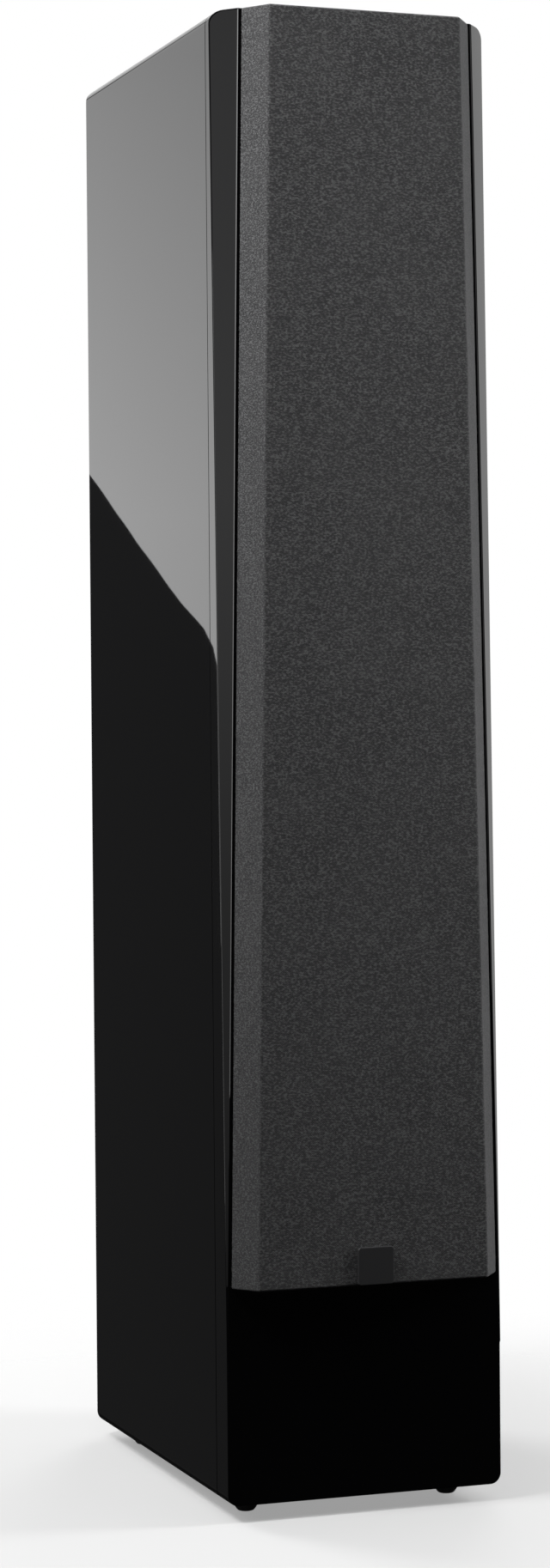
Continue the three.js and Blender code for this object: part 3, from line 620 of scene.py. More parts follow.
def hole(radius, depth, bore, centre, through):
    """A cutter: a chamfered rebate of radius and depth, then a bore that runs through."""
    section = [(0, -2), (radius + CHAMFER, -2), (radius + CHAMFER, 0), (radius, CHAMFER)]
    section += [(radius, depth), (bore, depth), (bore, through), (0, through)]
    return turned("cutter", section, centre, sides=96)


through = (WRAP_FRONT - FRONT) / MM + 2
for name, flange in DRIVERS.items():
    centre = middle(flange)
    radius = (high(flange).x - low(flange).x) / 2 / MM
    bore = CUTOUT[name.split("_")[0]] + PLAY
    carve(baffle, hole(radius + PLAY, REBATE, bore, (centre.x, FRONT, centre.z), through))
for name in SOCKETS:
    centre = middle(name)
    radius = (high(name).x - low(name).x) / 2 / MM + PLAY
    section = [(0, -2), (radius, -2), (radius, SOCKET_DEPTH), (0, SOCKET_DEPTH)]
    carve(baffle, turned("cutter", section, (centre.x, FRONT, centre.z), sides=48))
smooth(baffle)
finish(baffle, lacquer, "cabinet", "lacquer", "front_baffle")
print("baffle faces", len(baffle.data.polygons))


# %% Cabinet sleeve
WALL = 16 * MM
REAR_ARRIS = 1.5 * MM
STUD_RADIUS, STUD_LENGTH = 3, 12
FEET = [name for name in nodes if name.startswith("foot_")]

sleeve = slab("cabinet_sleeve", (-HALF_WIDTH, WRAP_FRONT, BOTTOM), (HALF_WIDTH, REAR, TOP), CORNER)
pick(sleeve, "FACE", lambda place, way: way.y > 0.9)
bpy.ops.mesh.bevel(offset=REAR_ARRIS, segments=3)
sleeve = shaped("cabinet_sleeve")
inside_low = (-HALF_WIDTH + WALL, WRAP_FRONT - WALL, BOTTOM + WALL)
carve(sleeve, block("cutter", inside_low, (HALF_WIDTH - WALL, REAR + WALL, TOP - WALL)))
for name in FEET:
    centre = middle(name)
    radius, end = STUD_RADIUS + PLAY, STUD_LENGTH + PLAY
    section = [(0, -2), (radius, -2), (radius, end), (0, end)]
    carve(sleeve, turned("cutter", section, (centre.x, centre.y, BOTTOM), sides=32, upright=True))
smooth(sleeve)
finish(sleeve, lacquer, "cabinet", "lacquer", "cabinet_wrap")
print("sleeve faces", len(sleeve.data.polygons))


# %% [markdown]
# ## Grille
# The grille is a moulded frame with black knit stretched over it. The cloth is one sheet: flat in
# front, sloping back at both sides, and turned over the top and bottom rails. A cube is tapered
# and opened at the back to give that sheet, its corners are eased as cloth eases over a rail, and
# a slight unevenness is left in it, because a hand-stretched cloth is never quite flat.

# %% Grille cloth sheet
CLOTH = "grille_cloth"
cloth_low, cloth_high = low(CLOTH), high(CLOTH)
CLOTH_FRONT, CLOTH_REAR = cloth_low.y, cloth_high.y
GRILLE_DEPTH = FRONT - CLOTH_FRONT
BEVEL = 14.2 * MM
MARGIN = 2.2 * MM


def half_width(z, y):
    """Half of the grille's width at a height and a depth."""
    facet = HALF_WIDTH - FACET_WIDTH * max(0, z - BOTTOM - FACET_END) / (TOP - BOTTOM - FACET_END)
    return facet - MARGIN - BEVEL * (FRONT - y) / GRILLE_DEPTH


base = half_width(cloth_low.z, CLOTH_REAR)
cloth = block("knit_cloth", (-base, CLOTH_FRONT, cloth_low.z), (base, CLOTH_REAR, cloth_high.z))
for y, z in ((CLOTH_REAR, cloth_high.z), (CLOTH_FRONT, cloth_low.z), (CLOTH_FRONT, cloth_high.z)):
    pick(cloth, "EDGE", lambda place, way, y=y, z=z: abs(way.x) > 0.9 and abs(place.y - y) < MM
         and abs(place.z - z) < MM)
    share = half_width(z, y) / base
    bpy.ops.transform.resize(value=(share, 1, 1), center_override=(0, 0, 0))
pick(cloth, "FACE", lambda place, way: way.y > 0.9)
bpy.ops.mesh.delete(type="ONLY_FACE")
pick(cloth, "EDGE", lambda place, way: place.y < CLOTH_REAR - MM)
bpy.ops.mesh.bevel(offset=1.6 * MM, segments=4)
cloth = shaped("knit_cloth")

for share in np.linspace(0.012, 0.988, 72):
    pick(cloth, "FACE", lambda place, way: True)
    level = cloth_low.z + share * (cloth_high.z - cloth_low.z)
    bpy.ops.mesh.bisect(plane_co=(0, 0, level), plane_no=(0, 0, 1), threshold=1e-6)
for x in np.linspace(-0.06, 0.06, 9):
    bpy.ops.mesh.select_all(action="SELECT")
    bpy.ops.mesh.bisect(plane_co=(float(x), 0, 0), plane_no=(1, 0, 0), threshold=1e-6)
cloth = shaped("knit_cloth")
for point in cloth.data.vertices:
    if point.co.y < CLOTH_REAR - 0.1 * MM:
        point.co.y += 0.22 * MM * noise.noise(point.co * 38)
        point.co.x += 0.25 * MM * noise.noise(point.co * 55 + Vector((7, 0, 0)))
select_only(cloth)
wall = cloth.modifiers.new("wall", "SOLIDIFY")
wall.thickness, wall.offset = 0.8 * MM, -1
bpy.ops.object.modifier_apply(modifier="wall")
smooth(cloth, 50)
finish(cloth, cloth_paint, "grille", "cloth", CLOTH)
slope = math.hypot(BEVEL, GRILLE_DEPTH)
flat_width = 2 * (half_width(cloth_low.z, CLOTH_FRONT) + slope)


# %% [markdown]
# ## Badge
# A small blank plate of gloss plastic is stuck to the cloth at the bottom. Its edges are rounded
# well enough to catch a thin line of light along the top.

# %% Badge
badge_low, badge_high = low("badge"), high("badge")
badge = slab("badge_plate", badge_low, badge_high, 2 * MM, steps=6)
pick(badge, "FACE", lambda place, way: way.y < -0.9)
bpy.ops.mesh.inset(thickness=0.9 * MM)
bpy.ops.transform.translate(value=(0, -0.25 * MM, 0))
badge = shaped("badge_plate")
soften(badge, 0.6, 4)
smooth(badge)
finish(badge, badge_gloss, "grille", "gloss", "badge")


# %% [markdown]
# ## Drivers: the measures
# A cone driver is a stack of turned parts on one axis. All depths are measured back from the
# baffle's face, in millimetres, and the woofers and the midrange share every section below.

# %% Driver measures
WOOFER = dict(flange=84, cutout=73, cone=57.5, depth=28, neck=19.5, roll=6, cap=25, cap_height=7,
              travel=6, plate=45, screw=80.2, screw_head=2.7)
MIDRANGE = dict(flange=67, cutout=57, cone=45, depth=22, neck=15.5, roll=4, cap=20, cap_height=6,
                travel=2, plate=40, screw=63.3, screw_head=2.5)
CONE_DRIVERS = {name: WOOFER if "woofer" in name else MIDRANGE for name in CONE_NAMES}
LIP, FLANGE, SEAT, CONE_WALL, BASKET_WALL = 1.0, 4.0, 2.3, 1.2, 2.5


def on_baffle(name):
    """The point on the baffle's face in front of a driver."""
    centre = middle(DRIVERS[name])
    return Vector((centre.x, FRONT, centre.z))


def cone_front(size, radius):
    """How deep the cone's front is at a radius: it curves gently in towards the neck."""
    share = (size["cone"] - radius) / (size["cone"] - size["neck"])
    return LIP + size["depth"] * share ** 0.85


def spider_place(size):
    return LIP + size["depth"] + size["travel"] + 5


# %% [markdown]
# ## Driver screws
# Every driver is held by countersunk hex-socket screws. One screw is turned, its six-sided socket
# is cut, and it is copied round the flange. The same ring of plain cutters makes its holes.

# %% Rings of screws
def one_screw(head, length=9):
    """A countersunk screw at the origin, its head towards the front."""
    section = [(0, 0.1), (head - 0.25, 0.1), (head, 0.35), (head, 1.4), (1.4, 2.9), (1.4, length),
               (0, length)]
    screw = turned("screw", section, (0, 0, 0), sides=28)
    bpy.ops.object.select_all(action="DESELECT")
    bpy.ops.mesh.primitive_cylinder_add(vertices=6, radius=head * 0.52 * MM, depth=3 * MM,
                                        rotation=(math.pi / 2, 0, 0))
    return carve(screw, shaped("cutter"))


def round_places(centre, radius, count, start=0.0):
    """Places round a circle on the baffle's face, in turn."""
    turns = [start + 2 * math.pi * step / count for step in range(count)]
    return [centre + Vector((math.cos(turn), 0, math.sin(turn))) * radius * MM for turn in turns]


def screw_ring(name, places, head, facing=1):
    """Screws at some places, as one piece, and the cutter that makes room for them."""
    screw = one_screw(head)
    if facing < 0:
        pick(screw, "FACE", lambda place, way: True)
        bpy.ops.transform.resize(value=(-1, -1, 1), center_override=(0, 0, 0))
        screw = shaped("screw")
    heads = joined(name, [copied(screw, "one", place) for place in places])
    bpy.data.objects.remove(screw)
    smooth(heads)
    room = [(0, -1), (head + 0.25, -1), (head + 0.25, 1.7), (1.8, 3.4), (1.8, 12), (0, 12)]
    room = [(radius, along * facing) for radius, along in room]
    cutter = joined("cutter", [turned("one", room, place, sides=28) for place in places])
    return heads, cutter


# %% [markdown]
# ## Baskets
# The basket carries everything: a flange that sinks into the baffle, four spokes, and a ring that
# holds the spider and the magnet. Real ones are cast or moulded in one go. Here the section is
# turned, and the windows between the spokes are cut out with two crossing blocks.

# %% Driver baskets
def basket(name, size):
    spider = spider_place(size)
    ledge, plate = spider + 0.8, spider + 6
    outer = size["cone"] + 2.5 + 2 * size["roll"] + 4.3
    ledge_in = size["plate"] - 3.75
    seat_in = size["cutout"] - 3.75
    throat = size["neck"] + 2 * BASKET_WALL
    floor_top = plate - 1.5
    section = [
        (size["flange"] - 0.5, 0), (size["flange"], 0.5), (size["flange"], FLANGE),
        (size["cutout"], FLANGE), (size["plate"] + BASKET_WALL, ledge),
        (size["plate"] + BASKET_WALL, plate), (throat, plate), (throat, floor_top),
        (ledge_in, floor_top), (ledge_in, ledge), (size["plate"], ledge),
        (size["plate"], ledge - BASKET_WALL), (seat_in, FLANGE), (seat_in, SEAT), (outer, SEAT),
        (outer, 0.7), (outer + 0.7, 0),
    ]
    place = on_baffle(name)
    body = turned(f"{name}_chassis", section, place, sides=96)
    reach, half = size["flange"] * MM, 0.36 * size["flange"] * MM
    front, back = 10 * MM, (ledge - 2 * BASKET_WALL) * MM
    for x, z in ((reach, half), (half, reach)):
        carve(body, block("cutter", place + Vector((-x, front, -z)), place + Vector((x, back, z))))
    heads, room = screw_ring(f"{name}_screws", round_places(place, size["screw"], 6, math.pi / 6),
                             size["screw_head"])
    carve(body, room)
    smooth(body)
    finish(body, moulded, "cabinet", "basket", f"{name}_basket")
    finish(heads, screw_steel, "cabinet", "basket")


for name, size in CONE_DRIVERS.items():
    basket(name, size)
print("baskets", len(CONE_DRIVERS))


# %% [markdown]
# ## Cones and dust caps
# The cone is pressed from polypropylene sheet and glued to the voice coil's tube. It is turned as
# one shell with the tube behind its neck. A low rib runs round it, and a dome of the same stuff
# covers the neck. Both move together, so both ride the driver's moving body.

# %% Cones and dust caps
def cone(name, size):
    steps = [size["cone"] + (size["cap"] - 2 - size["cone"]) * step / 14 for step in range(15)]
    rib = size["cone"] - 6
    front = [(radius, cone_front(size, radius) - 0.5 * math.exp(-((radius - rib) / 1.3) ** 2))
             for radius in steps]
    neck = LIP + size["depth"]
    tube_end = spider_place(size) + 6 + 0.3 + size["travel"] + 5
    inner = size["neck"] - 0.8
    section = front + [(size["neck"] + 1.5, neck - 1.2), (inner, neck), (inner, tube_end)]
    section += [(size["neck"], tube_end), (size["neck"], neck + CONE_WALL)]
    section += [(radius, y + CONE_WALL) for radius, y in reversed(front)]
    shell = turned(f"{name}_diaphragm_cone", section, on_baffle(name), sides=96)
    smooth(shell, 50)
    finish(shell, cone_finish(name, f"{name}_basket"), f"{name}_diaphragm", "cone", f"{name}_cone")


def dust_cap(name, size):
    rim = cone_front(size, size["cap"]) - 0.3
    edge = size["cap"]

    def bulge(radius):
        return size["cap_height"] * (1 - (radius / edge) ** 2)

    radii = [edge * step / 12 for step in range(13)]
    front = [(radius, rim - CONE_WALL - bulge(radius)) for radius in radii]
    front[-1] = (edge - 0.3, rim - CONE_WALL)
    lip = [(edge, rim - 0.9), (edge, rim)]
    back = [(radius, rim - bulge(radius)) for radius in reversed(radii[:-1])]
    cap = turned(f"{name}_dome_cap", front + lip + back, on_baffle(name), sides=72)
    smooth(cap, 50)
    finish(cap, cap_finish, f"{name}_diaphragm", "cone", f"{name}_dust_cap")


cap_finish = Paint("dust_cap_polypropylene", (0.018, 0.018, 0.019), Roughness=0.35)
cap_specks = cap_finish.step(cap_finish.grain(0.0007, detail=4), 0.62, 0.72)
cap_finish.tones(cap_specks * 0.5, (0.012, 0.012, 0.013), (0.09, 0.09, 0.092))
cap_finish.rough(0.28 + cap_finish.grain(0.008, detail=3) * 0.2).bump(cap_specks, 0.00003)
for name, size in CONE_DRIVERS.items():
    cone(name, size)
    dust_cap(name, size)
print("cones", len(CONE_DRIVERS))


# %% [markdown]
# ## Surrounds
# The surround is a half roll of rubber. Its inner lip is glued to the cone and its outer lip to
# the basket, so when the cone moves the inner edge goes with it and the outer edge stays. Each
# point's share of the cone's travel, larger the nearer it is to the cone's edge, is worked out
# here, but nothing moves the points by it.

# %% Surrounds
def surround(name, size):
    lip_in = size["cone"] - 2.2
    roll_in = size["cone"] + 2.5
    centre = roll_in + size["roll"]
    outer = centre + size["roll"] + 4
    lip = LIP + 0.05
    front = arc(centre, lip, size["roll"], 180, 360, 14)
    back = arc(centre, lip + 1, size["roll"] - 1, 360, 180, 14)
    edge = cone_front(size, lip_in)
    section = [(lip_in, edge - 0.75), (size["cone"], lip - 0.6)] + front + [(outer, lip)]
    section += [(outer, lip + 1.1)] + back + [(size["cone"], lip - 0.05), (lip_in, edge - 0.05)]
    place = on_baffle(name)
    ring = turned(f"{name}_roll_surround", section, place, sides=96)
    smooth(ring, 50)
    ring.data.materials.append(surround_rubber.material)
    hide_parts(f"{name}_surround")
    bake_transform(ring)
    points = np.array([point.co for point in ring.data.vertices])
    radii = np.hypot(points[:, 0] - place.x, points[:, 2] - place.z) / MM
    share = np.clip((centre + size["roll"] - radii) / (2 * size["roll"]), 0, 1)


for name, size in CONE_DRIVERS.items():
    surround(name, size)
print("surrounds", len(CONE_DRIVERS))


# %% [markdown]
# ## Tweeter
# A soft dome sits at the throat of a shallow waveguide moulded into the faceplate. The waveguide's
# curve is drawn point by point, a fine groove rings the plate, and four screws hold it.

# %% Tweeter faceplate
DOME, DOME_HEIGHT, DOME_EDGE, WAVE_DEPTH, WAVE_RADIUS, PLATE_RADIUS = 13, 5.5, 1.3, 4.2, 34, 52
throat = DOME + DOME_EDGE + PLAY


def flare(share):
    """The waveguide's depth from its mouth, at share 0, to its throat, at share 1."""
    return WAVE_DEPTH * share ** 2.1


guide = [(WAVE_RADIUS + (throat - WAVE_RADIUS) * step / 12, flare(step / 12)) for step in range(13)]
plate_section = [(PLATE_RADIUS - 0.6, 0), (PLATE_RADIUS, 0.6), (PLATE_RADIUS, 4), (30, 4), (30, 9),
                 (throat, 9)] + guide[::-1] + [(37.6, 0), (38, 0.5), (38.6, 0.5), (39, 0)]
faceplate = turned("tweeter_waveguide", plate_section, on_baffle("tweeter"), sides=96)
heads, room = screw_ring("tweeter_screws", round_places(on_baffle("tweeter"), 45.5, 4, math.pi / 4), 3.1)
carve(faceplate, room)
smooth(faceplate)
finish(faceplate, moulded, "cabinet", "plastic", "tweeter_faceplate")
finish(heads, screw_steel, "cabinet", "plastic")


# %% Tweeter dome
def dome_bulge(radius):
    return DOME_HEIGHT * math.sqrt(max(0, 1 - (radius / DOME) ** 2))


rim = WAVE_DEPTH + 0.7
radii = [DOME * math.sin(math.pi / 2 * step / 14) for step in range(15)]
front = [(radius, rim - dome_bulge(radius)) for radius in radii]
back = [(radius, rim + 0.7 - dome_bulge(radius)) for radius in radii]
edge_ring = [(DOME + DOME_EDGE * 0.5, rim - 0.25), (DOME + DOME_EDGE, rim), (DOME + DOME_EDGE, rim + 0.7)]
dome = turned("tweeter_soft_dome", front + edge_ring + back[::-1], on_baffle("tweeter"), sides=72)
smooth(dome, 60)
finish(dome, dome_silk, "tweeter_diaphragm", "silk", "tweeter_dome")
print("tweeter done")


# %% [markdown]
# ## Bass ports
# Each woofer breathes through a flared tube at the back. A flare at both ends keeps the air from
# chuffing. The tube is one turned piece with a rounded flange that stands 3 mm proud.

# %% Ports
PORT, PORT_WALL, PORT_LENGTH, PORT_FLARE, FLARE_LENGTH, PORT_FLANGE = 25, 2.5, 120, 8, 14, 40
PROUD = 3.3  # how far the flange stands off the rear face


def port(level):
    name = f"port_{level}"
    centre = middle(name)
    quarters = [math.pi / 2 * step / 8 for step in range(9)]
    mouth = [(PORT + PORT_FLARE * (1 - math.sin(turn)), PROUD - (FLARE_LENGTH + PROUD) * (1 - math.cos(turn)))
             for turn in quarters]
    quarters = [math.pi / 2 * step / 6 for step in range(7)]
    inner = [(PORT + PORT_FLARE / 2 * (1 - math.cos(turn)),
              -PORT_LENGTH + FLARE_LENGTH * (1 - math.sin(turn))) for turn in quarters]
    outer = PORT + PORT_WALL
    section = [(PORT_FLANGE, 0.3), (PORT_FLANGE, 2.1), (PORT_FLANGE - 0.4, 2.9), (PORT_FLANGE - 1.2, PROUD)]
    section += mouth + inner
    section += [(PORT + PORT_FLARE / 2 + PORT_WALL, -PORT_LENGTH), (outer, -PORT_LENGTH + FLARE_LENGTH),
                (outer, -FLARE_LENGTH), (outer + PORT_FLARE, 0), (outer + PORT_FLARE, 0.3)]
    tube = turned(f"{name}_tube", section, (centre.x, REAR, centre.z), sides=96)
    smooth(tube, 40)
    finish(tube, moulded, "cabinet", "port", name)


for level in ("upper", "middle", "lower"):
    port(level)
print("ports done")


# %% [markdown]
# ## Terminal cup
# The terminals sit in a moulded cup so that plugs don't stand far off the back. A slab with
# rounded corners is joined to a box, and the recess is cut into both. A plus and a minus are
# moulded beside the posts, since they are on every speaker, and four screws hold the plate.

# %% Terminal cup
TERMINAL = middle("terminal_cup")
TERMINAL_AT = Vector((TERMINAL.x, REAR, TERMINAL.z))
CUP_DEPTH, CUP_WALL, CUP_RIM = 15, 2.5, 10
plate_low, plate_high = low("terminal_cup"), high("terminal_cup")
PLATE_BACK = REAR + CLEARANCE
cup_half = Vector(((plate_high.x - plate_low.x) / 2 - CUP_RIM * MM, 0,
                   (plate_high.z - plate_low.z) / 2 - CUP_RIM * MM))


def in_cup(x, y, z):
    """A point in millimetres from the middle of the terminal plate's back."""
    return TERMINAL_AT + Vector((x, y, z)) * MM


cup = slab("terminal_tray", (plate_low.x, PLATE_BACK, plate_low.z), plate_high, 8 * MM)
outer_low = TERMINAL_AT - cup_half + Vector((0, -(CUP_DEPTH + CUP_WALL) * MM, 0))
outer_high = TERMINAL_AT + cup_half + Vector((0, CLEARANCE + MM, 0))
carve(cup, slab("cutter", outer_low, outer_high, 3 * MM, steps=4), operation="UNION")
wall = Vector((CUP_WALL, 0, CUP_WALL)) * MM
recess_low = TERMINAL_AT - cup_half + wall + Vector((0, -CUP_DEPTH * MM, 0))
recess_high = TERMINAL_AT + cup_half - wall + Vector((0, 10 * MM, 0))
carve(cup, slab("cutter", recess_low, recess_high, 4 * MM, steps=5))
POLES = {"negative": middle("binding_post_negative").x, "positive": middle("binding_post_positive").x}
for x in POLES.values():
    bore = [(0, -25), (3.5, -25), (3.5, -10), (0, -10)]
    carve(cup, turned("cutter", bore, (x, REAR, TERMINAL.z), sides=32))
corners = [in_cup(x, 3.3, z) for x in (-41, 41) for z in (-31, 31)]
heads, room = screw_ring("terminal_screws", corners, 2.8, facing=-1)
carve(cup, room)
soften(cup, 0.4, 2, 40)
for x, upright in ((-29.5, False), (29.5, False), (29.5, True)):
    width, tall = (0.7, 3) if upright else (3, 0.7)
    mark = block("mark", in_cup(x - width, -CUP_DEPTH - 0.5, -tall),
                 in_cup(x + width, -CUP_DEPTH + 0.8, tall))
    carve(cup, mark, operation="UNION")
smooth(cup)
finish(cup, moulded, "cabinet", "plastic", "terminal_cup")
finish(heads, screw_steel, "cabinet", "plastic")
print("cup faces", len(cup.data.polygons))


# %% [markdown]
# ## Binding posts
# Each post is a gold-plated stud with a collar, a loose washer and a fluted knob that screws down
# on a bare wire. The thread shows as fine rings. Flutes are cut into the knob with one ring of
# thin rods, and a coloured ring tells the poles apart: red is positive.

# %% Posts and washers
KNOB, KNOB_LENGTH, POST, THREAD, COLLAR, WASHER = 7.5, 18, 3, 0.5, 5, 1.5
COLLAR_TOP = -CUP_DEPTH + CLEARANCE / MM + COLLAR
WASHER_TOP = COLLAR_TOP + PLAY + WASHER
KNOB_START = WASHER_TOP + PLAY
KNOB_END = KNOB_START + KNOB_LENGTH


def thread(start, end):
    """A row of ridges along the stud, from start to end."""
    points, y, ridge = [], start, False
    while y < end:
        points.append((POST - (0 if ridge else 0.3), y))
        y, ridge = y + THREAD / 2, not ridge
    return points


for pole, x in POLES.items():
    place = Vector((x, REAR, TERMINAL.z))
    nut = -CUP_DEPTH - CUP_WALL - 0.3
    end = KNOB_END - 1
    section = [(0, nut - 16), (POST - 0.4, nut - 16), (POST, nut - 15.6), (POST, nut - 4), (5.5, nut - 4),
               (5.5, nut), (POST, nut), (POST, -CUP_DEPTH + 0.3), (6.6, -CUP_DEPTH + 0.3),
               (7, -CUP_DEPTH + 0.7), (7, COLLAR_TOP - 0.5), (6.5, COLLAR_TOP), (POST, COLLAR_TOP)]
    section += thread(COLLAR_TOP + 0.3, end - 0.6)
    section += [(POST - 0.3, end), (2, end), (2, end - 14), (0, end - 14)]
    post = turned(f"post_stud_{pole}", section, place, sides=48)
    wire_hole = [(0, -6), (1.5, -6), (1.5, 6), (0, 6)]
    hole_place = place + Vector((0, WASHER_TOP * MM, 0))
    carve(post, turned("cutter", wire_hole, hole_place, sides=20, upright=True))
    smooth(post)
    finish(post, gold, "cabinet", "gold", f"binding_post_{pole}")
    ring = [(3.5, COLLAR_TOP + 0.3), (6.3, COLLAR_TOP + 0.3), (6.5, COLLAR_TOP + 0.5),
            (6.5, WASHER_TOP - 0.2), (6.3, WASHER_TOP), (3.5, WASHER_TOP)]
    washer = turned(f"wire_washer_{pole}", ring, place, sides=48)
    smooth(washer)
    finish(washer, gold, f"clamp_washer_{pole}", "gold", f"clamp_washer_{pole}")
print("posts done")


# %% Knobs
FLUTES = 20
for pole, x in POLES.items():
    place = Vector((x, REAR, TERMINAL.z))
    section = [(3.5, KNOB_START), (6.6, KNOB_START), (7.3, KNOB_START + 0.6), (7.3, KNOB_START + 3.2),
               (6.5, KNOB_START + 3.6), (6.5, KNOB_START + 6), (KNOB, KNOB_START + 6.4),
               (KNOB, KNOB_END - 1), (KNOB - 0.3, KNOB_END - 0.3), (KNOB - 1, KNOB_END), (4.1, KNOB_END),
               (3.5, KNOB_END - 0.6)]
    knob = turned(f"knob_{pole}", section, place, sides=80)
    rods = []
    for spot in round_places(place, KNOB + 0.25, FLUTES):
        rod = [(0, KNOB_START + 7), (0.65, KNOB_START + 7), (0.65, KNOB_END + 1), (0, KNOB_END + 1)]
        rods.append(turned("rod", rod, spot, sides=12))
    carve(knob, joined("cutter", rods))
    smooth(knob)
    finish(knob, gold, f"binding_knob_{pole}", "gold", f"binding_knob_{pole}")
    band = [(6.6, KNOB_START + 3.7), (7.2, KNOB_START + 3.7), (7.35, KNOB_START + 3.9),
            (7.35, KNOB_START + 5.7), (7.2, KNOB_START + 5.9), (6.6, KNOB_START + 5.9)]
    band_piece = turned(f"knob_ring_{pole}", band, place, sides=64)
    smooth(band_piece)
    tint = red_plastic if pole == "positive" else black_plastic
    finish(band_piece, tint, f"binding_knob_{pole}", "plastic")
print("knobs done")


# %% [markdown]
# ## Feet
# Four rubber feet keep the cabinet off the floor. Each is turned as a low dome that narrows to
# the floor, with a recess for its screw underneath and a stud that goes up into the cabinet.

# %% Feet
for name in FEET:
    centre = middle(name)
    section = [(0, 1.8), (2.4, 1.8), (2.7, 0.3), (3.1, 0), (4.6, 0), (5.7, 0.4), (6.8, 1.6), (8.2, 3.9),
               (9.3, 6.2), (10.2, 8.7), (10.8, 10.6), (10.8, 11.3), (10.4, 11.7), (3, 11.7), (3, 24), (0, 24)]
    rubber = turned(f"{name}_pad", section, (centre.x, centre.y, 0), sides=56, upright=True)
    smooth(rubber, 40)
    finish(rubber, foot_rubber, "cabinet", "rubber", name)
print("feet", len(FEET))


# %% [markdown]
# ## Parts that keep their first shape
# Some parts are already right as they came: flat boards, the frame behind the cloth, and parts
# deep inside the cabinet. They only need their real finish.

# %% Finishes for the parts that stay
def refinish(name, paint):
    mesh = nodes[name].data
    mesh.materials.clear()
    mesh.materials.append(paint.material)


STAYS = {"rear_panel": rear_vinyl, "grille_frame": moulded, "tweeter_voice_coil": copper,
         "crossover_board": circuit, "crossover_inductor": copper, "crossover_capacitor": film}
STAYS |= {f"shelf_{level}": fibreboard for level in ("upper", "middle", "lower")}
STAYS |= {name: foot_rubber for name in SOCKETS} | {f"{name}_spider": spider_cloth for name in CONE_NAMES}
STAYS |= {f"{name}_magnet": magnet_finish(f"{name}_magnet") for name in DRIVERS}
for name, paint in STAYS.items():
    refinish(name, paint)
print("parts that stay", sum(not node.hide_render for node in nodes.values()))


# %% [markdown]
# ## Studio
# Gloss black shows nothing of its own: its whole look is what it reflects. So the studio is a pale
# floor, soft boxes that light the cloth, and white cards that only the lacquer sees. The card at
# the back left gives the side its pale sheen, and its slanted lower edge is the line that crosses
# the side. Two narrow strips are bright enough to draw a thin light line on the slanted facet's
# arrises. The room in front stays dark, and the world is white only where the camera looks at it.

# %% World and view
bpy.context.scene.view_settings.view_transform = "Standard"


def make_world(backdrop, room):
    world = bpy.data.worlds.new("studio")
    bpy.context.scene.world = world
    world.use_nodes = True
    tree = world.node_tree
    tree.nodes.clear()
    seen = tree.nodes.new("ShaderNodeLightPath")
    mix = tree.nodes.new("ShaderNodeMixShader")
    out = tree.nodes.new("ShaderNodeOutputWorld")
    tree.links.new(seen.outputs["Is Camera Ray"], mix.inputs[0])
    for index, level in ((1, room), (2, backdrop)):
        light = tree.nodes.new("ShaderNodeBackground")
        light.inputs["Color"].default_value = (level, level, level, 1)
        tree.links.new(light.outputs[0], mix.inputs[index])
    tree.links.new(mix.outputs[0], out.inputs["Surface"])


make_world(backdrop=1.0, room=0.012)


# %% Soft boxes for the cloth and the floor
def soft_box(name, place, target, size, watts):
    """A rectangular light at place, facing target, that doesn't show in gloss."""
    light = bpy.data.lights.new(name, "AREA")
    light.shape = "RECTANGLE"
    light.size, light.size_y = size
    light.energy = watts
    box = bpy.data.objects.new(name, light)
    bpy.context.scene.collection.objects.link(box)
    box.location = place
    box.rotation_euler = (Vector(target) - Vector(place)).to_track_quat("-Z", "Y").to_euler()
    box.visible_glossy = box.visible_camera = False


SOFT_BOXES = {
    "overhead": ((0, 0.3, 2.8), (0, 0.3, 0), (4.5, 4.5), 98),
    "left_side": ((-0.95, -0.36, 1.5), (0, -0.17, 0.95), (0.3, 0.5), 32),
    "right_side": ((1.2, -0.40, 0.75), (0, -0.17, 0.70), (0.3, 0.6), 22),
    "front_high": ((-0.5, -1.6, 2.0), (0, -0.17, 0.95), (0.6, 0.6), 3.5),
    "rear_left": ((-1.3, 2.2, 1.5), (0, 0.16, 0.5), (1.0, 1.4), 90),
    "rear_right": ((1.3, 2.2, 1.0), (0, 0.16, 0.5), (1.0, 1.4), 60),
}
for name, (place, target, size, watts) in SOFT_BOXES.items():
    soft_box(name, place, target, size, watts)
print("lights", len(bpy.data.lights))


# %% Cards that the lacquer reflects
def card(name, corners, levels):
    """A white card that only reflections see, through three or more corners in order. levels are
    (height, strength) pairs, lowest first, and the strength changes evenly between them."""
    mesh = bpy.data.meshes.new(name)
    mesh.from_pydata([Vector(corner) for corner in corners], [], [range(len(corners))])
    board = bpy.data.objects.new(name, mesh)
    bpy.context.scene.collection.objects.link(board)
    paper = Paint(name, (0, 0, 0))
    _, _, z = paper.split(paper.place())
    strength = None
    for (start, first), (end, last) in zip(levels, levels[1:]):
        span = paper.node("ShaderNodeMapRange", {}, {
            "Value": z, "From Min": start, "From Max": end,
            "To Min": 0.0 if strength else first, "To Max": last - first if strength else last})
        strength = strength + span if strength else span
    glow = paper.node("ShaderNodeEmission", {}, {"Strength": strength})
    paper.feed(paper.tree.nodes["Material Output"].inputs["Surface"], glow)
    mesh.materials.append(paper.material)
    for sight in ("camera", "diffuse", "transmission", "volume_scatter", "shadow"):
        setattr(board, f"visible_{sight}", False)


def upright_card(name, start, end, levels):
    """A card between two (x, y) places, as tall as its levels."""
    bottom, top = levels[0][0], levels[-1][0]
    corners = [(*start, bottom), (*end, bottom), (*end, top), (*start, top)]
    card(name, corners, levels)


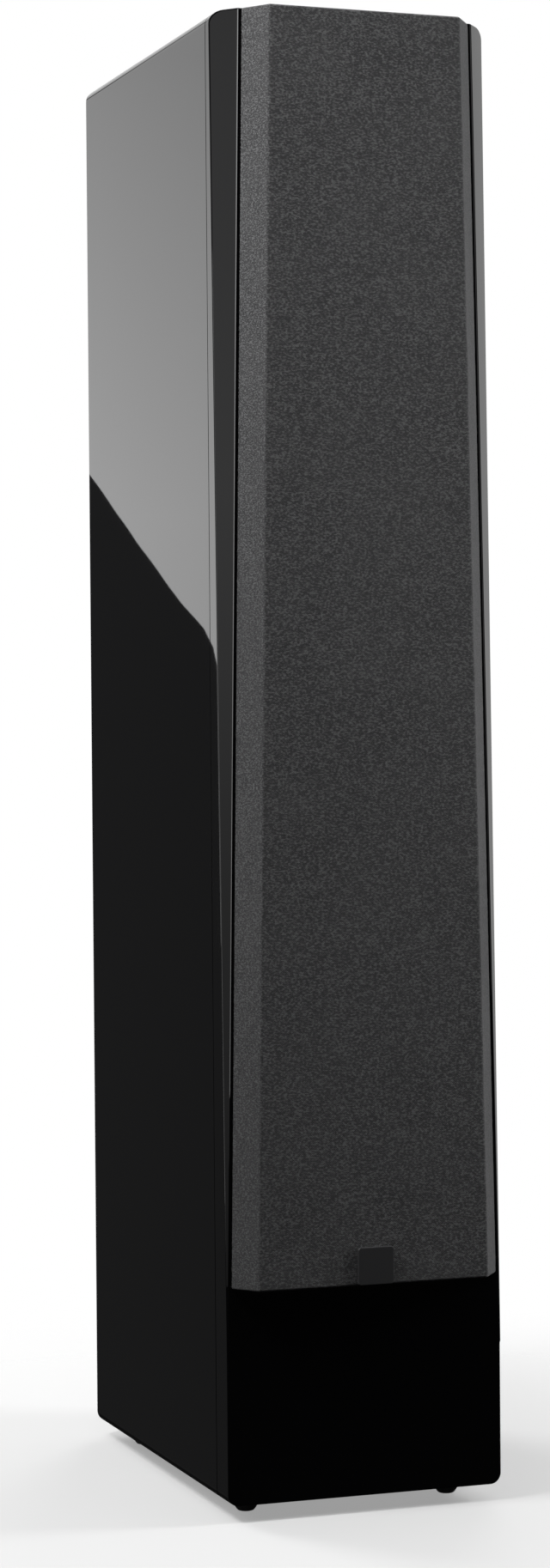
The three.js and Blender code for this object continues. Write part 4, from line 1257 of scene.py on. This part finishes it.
CARD_Y = FRONT + 3.0
LEFT, RIGHT = -1.9, -0.70
lower_edge = [(RIGHT, 1.234), (-0.892, 0.967), (-0.980, 0.846), (-1.044, 0.762), (-1.083, 0.720),
              (-1.099, 0.689), (-1.108, 0.649), (-1.118, 0.2), (LEFT, 0.2)]
upper_edge = [(LEFT, 2.6), (RIGHT, 2.6)]
card("side_card", [(x, CARD_Y, z) for x, z in lower_edge + upper_edge], [(0.9, 1.5), (1.65, 1.0)])
DUSK_Y = CARD_Y + 0.05
CARDS = {
    "side_dusk_card": ((LEFT, DUSK_Y), (RIGHT, DUSK_Y), [(-1.5, 0.04), (2.6, 0.04)]),
    "left_card": ((-2.6, -1.6), (-2.6, 0.4), [(-0.2, 0.2), (0.35, 0.42), (0.95, 0.8), (1.7, 0.65)]),
    "right_card": ((2.3, 0.5), (2.3, 1.9), [(-0.4, 0.6), (0.3, 1.1), (2.2, 0.95)]),
    "front_left_card": ((-2.9, -1.9), (-1.5, -3.0), [(-0.1, 0.5), (2.2, 1.3)]),
    "rear_right_card": ((0.7, CARD_Y), (2.2, CARD_Y), [(0.1, 0.6), (2.6, 1.4)]),
    "rear_card": ((-0.55, CARD_Y), (0.55, CARD_Y), [(0.3, 0.5), (2.6, 1.2)]),
    "arris_strip": ((-1.3, -3.0), (-0.5, -3.2), [(0.0, 4.0), (2.4, 9.0)]),
    "edge_strip": ((-2.6, 0.8), (-2.6, 1.9), [(-0.2, 3.0), (1.3, 3.0)]),
    "front_right_card": ((3.2, -2.2), (2.4, -3.2), [(0.1, 0.4), (2.4, 1.2)]),
}
for name, (start, end, levels) in CARDS.items():
    upright_card(name, start, end, levels)
TOP_CARD_Z, TOP_CARD_GLOW = 3.2, 1.1
corners = [(x, y, TOP_CARD_Z) for x, y in ((-1, -1.4), (1, -1.4), (1, 1.4), (-1, 1.4))]
card("top_card", corners, [(0, TOP_CARD_GLOW), (TOP_CARD_Z, TOP_CARD_GLOW)])
print("cards", len(CARDS) + 2)


# %% Floor
bpy.ops.object.select_all(action="DESELECT")
bpy.ops.mesh.primitive_plane_add(size=30, location=(0, 0, 0))
floor = bpy.context.object
floor.name = "floor"
FADE_START, FADE_END = 0.28, 0.75
floor_paint = Paint("floor_paint", (0.25, 0.25, 0.25), Roughness=0.8, Specular_IOR_Level=0.0,
                    Emission_Color=(1, 1, 1, 1), Emission_Strength=0.33)
floor_x, floor_y, _ = floor_paint.split(floor_paint.place())
from_centre = floor_x.maths("SQRT", floor_x * floor_x + floor_y * floor_y)
far = floor_paint.step(from_centre, FADE_START, FADE_END)
clear = floor_paint.node("ShaderNodeBsdfTransparent", {}, {})
painted = Wire(floor_paint, floor_paint.shader.outputs[0])
faded = floor_paint.node("ShaderNodeMixShader", {}, {0: far, 1: painted, 2: clear})
floor_paint.feed(floor_paint.tree.nodes["Material Output"].inputs["Surface"], faded)
floor.data.materials.append(floor_paint.material)
floor.visible_glossy = floor.visible_diffuse = False
print("floor fades out from", FADE_START, "to", FADE_END)
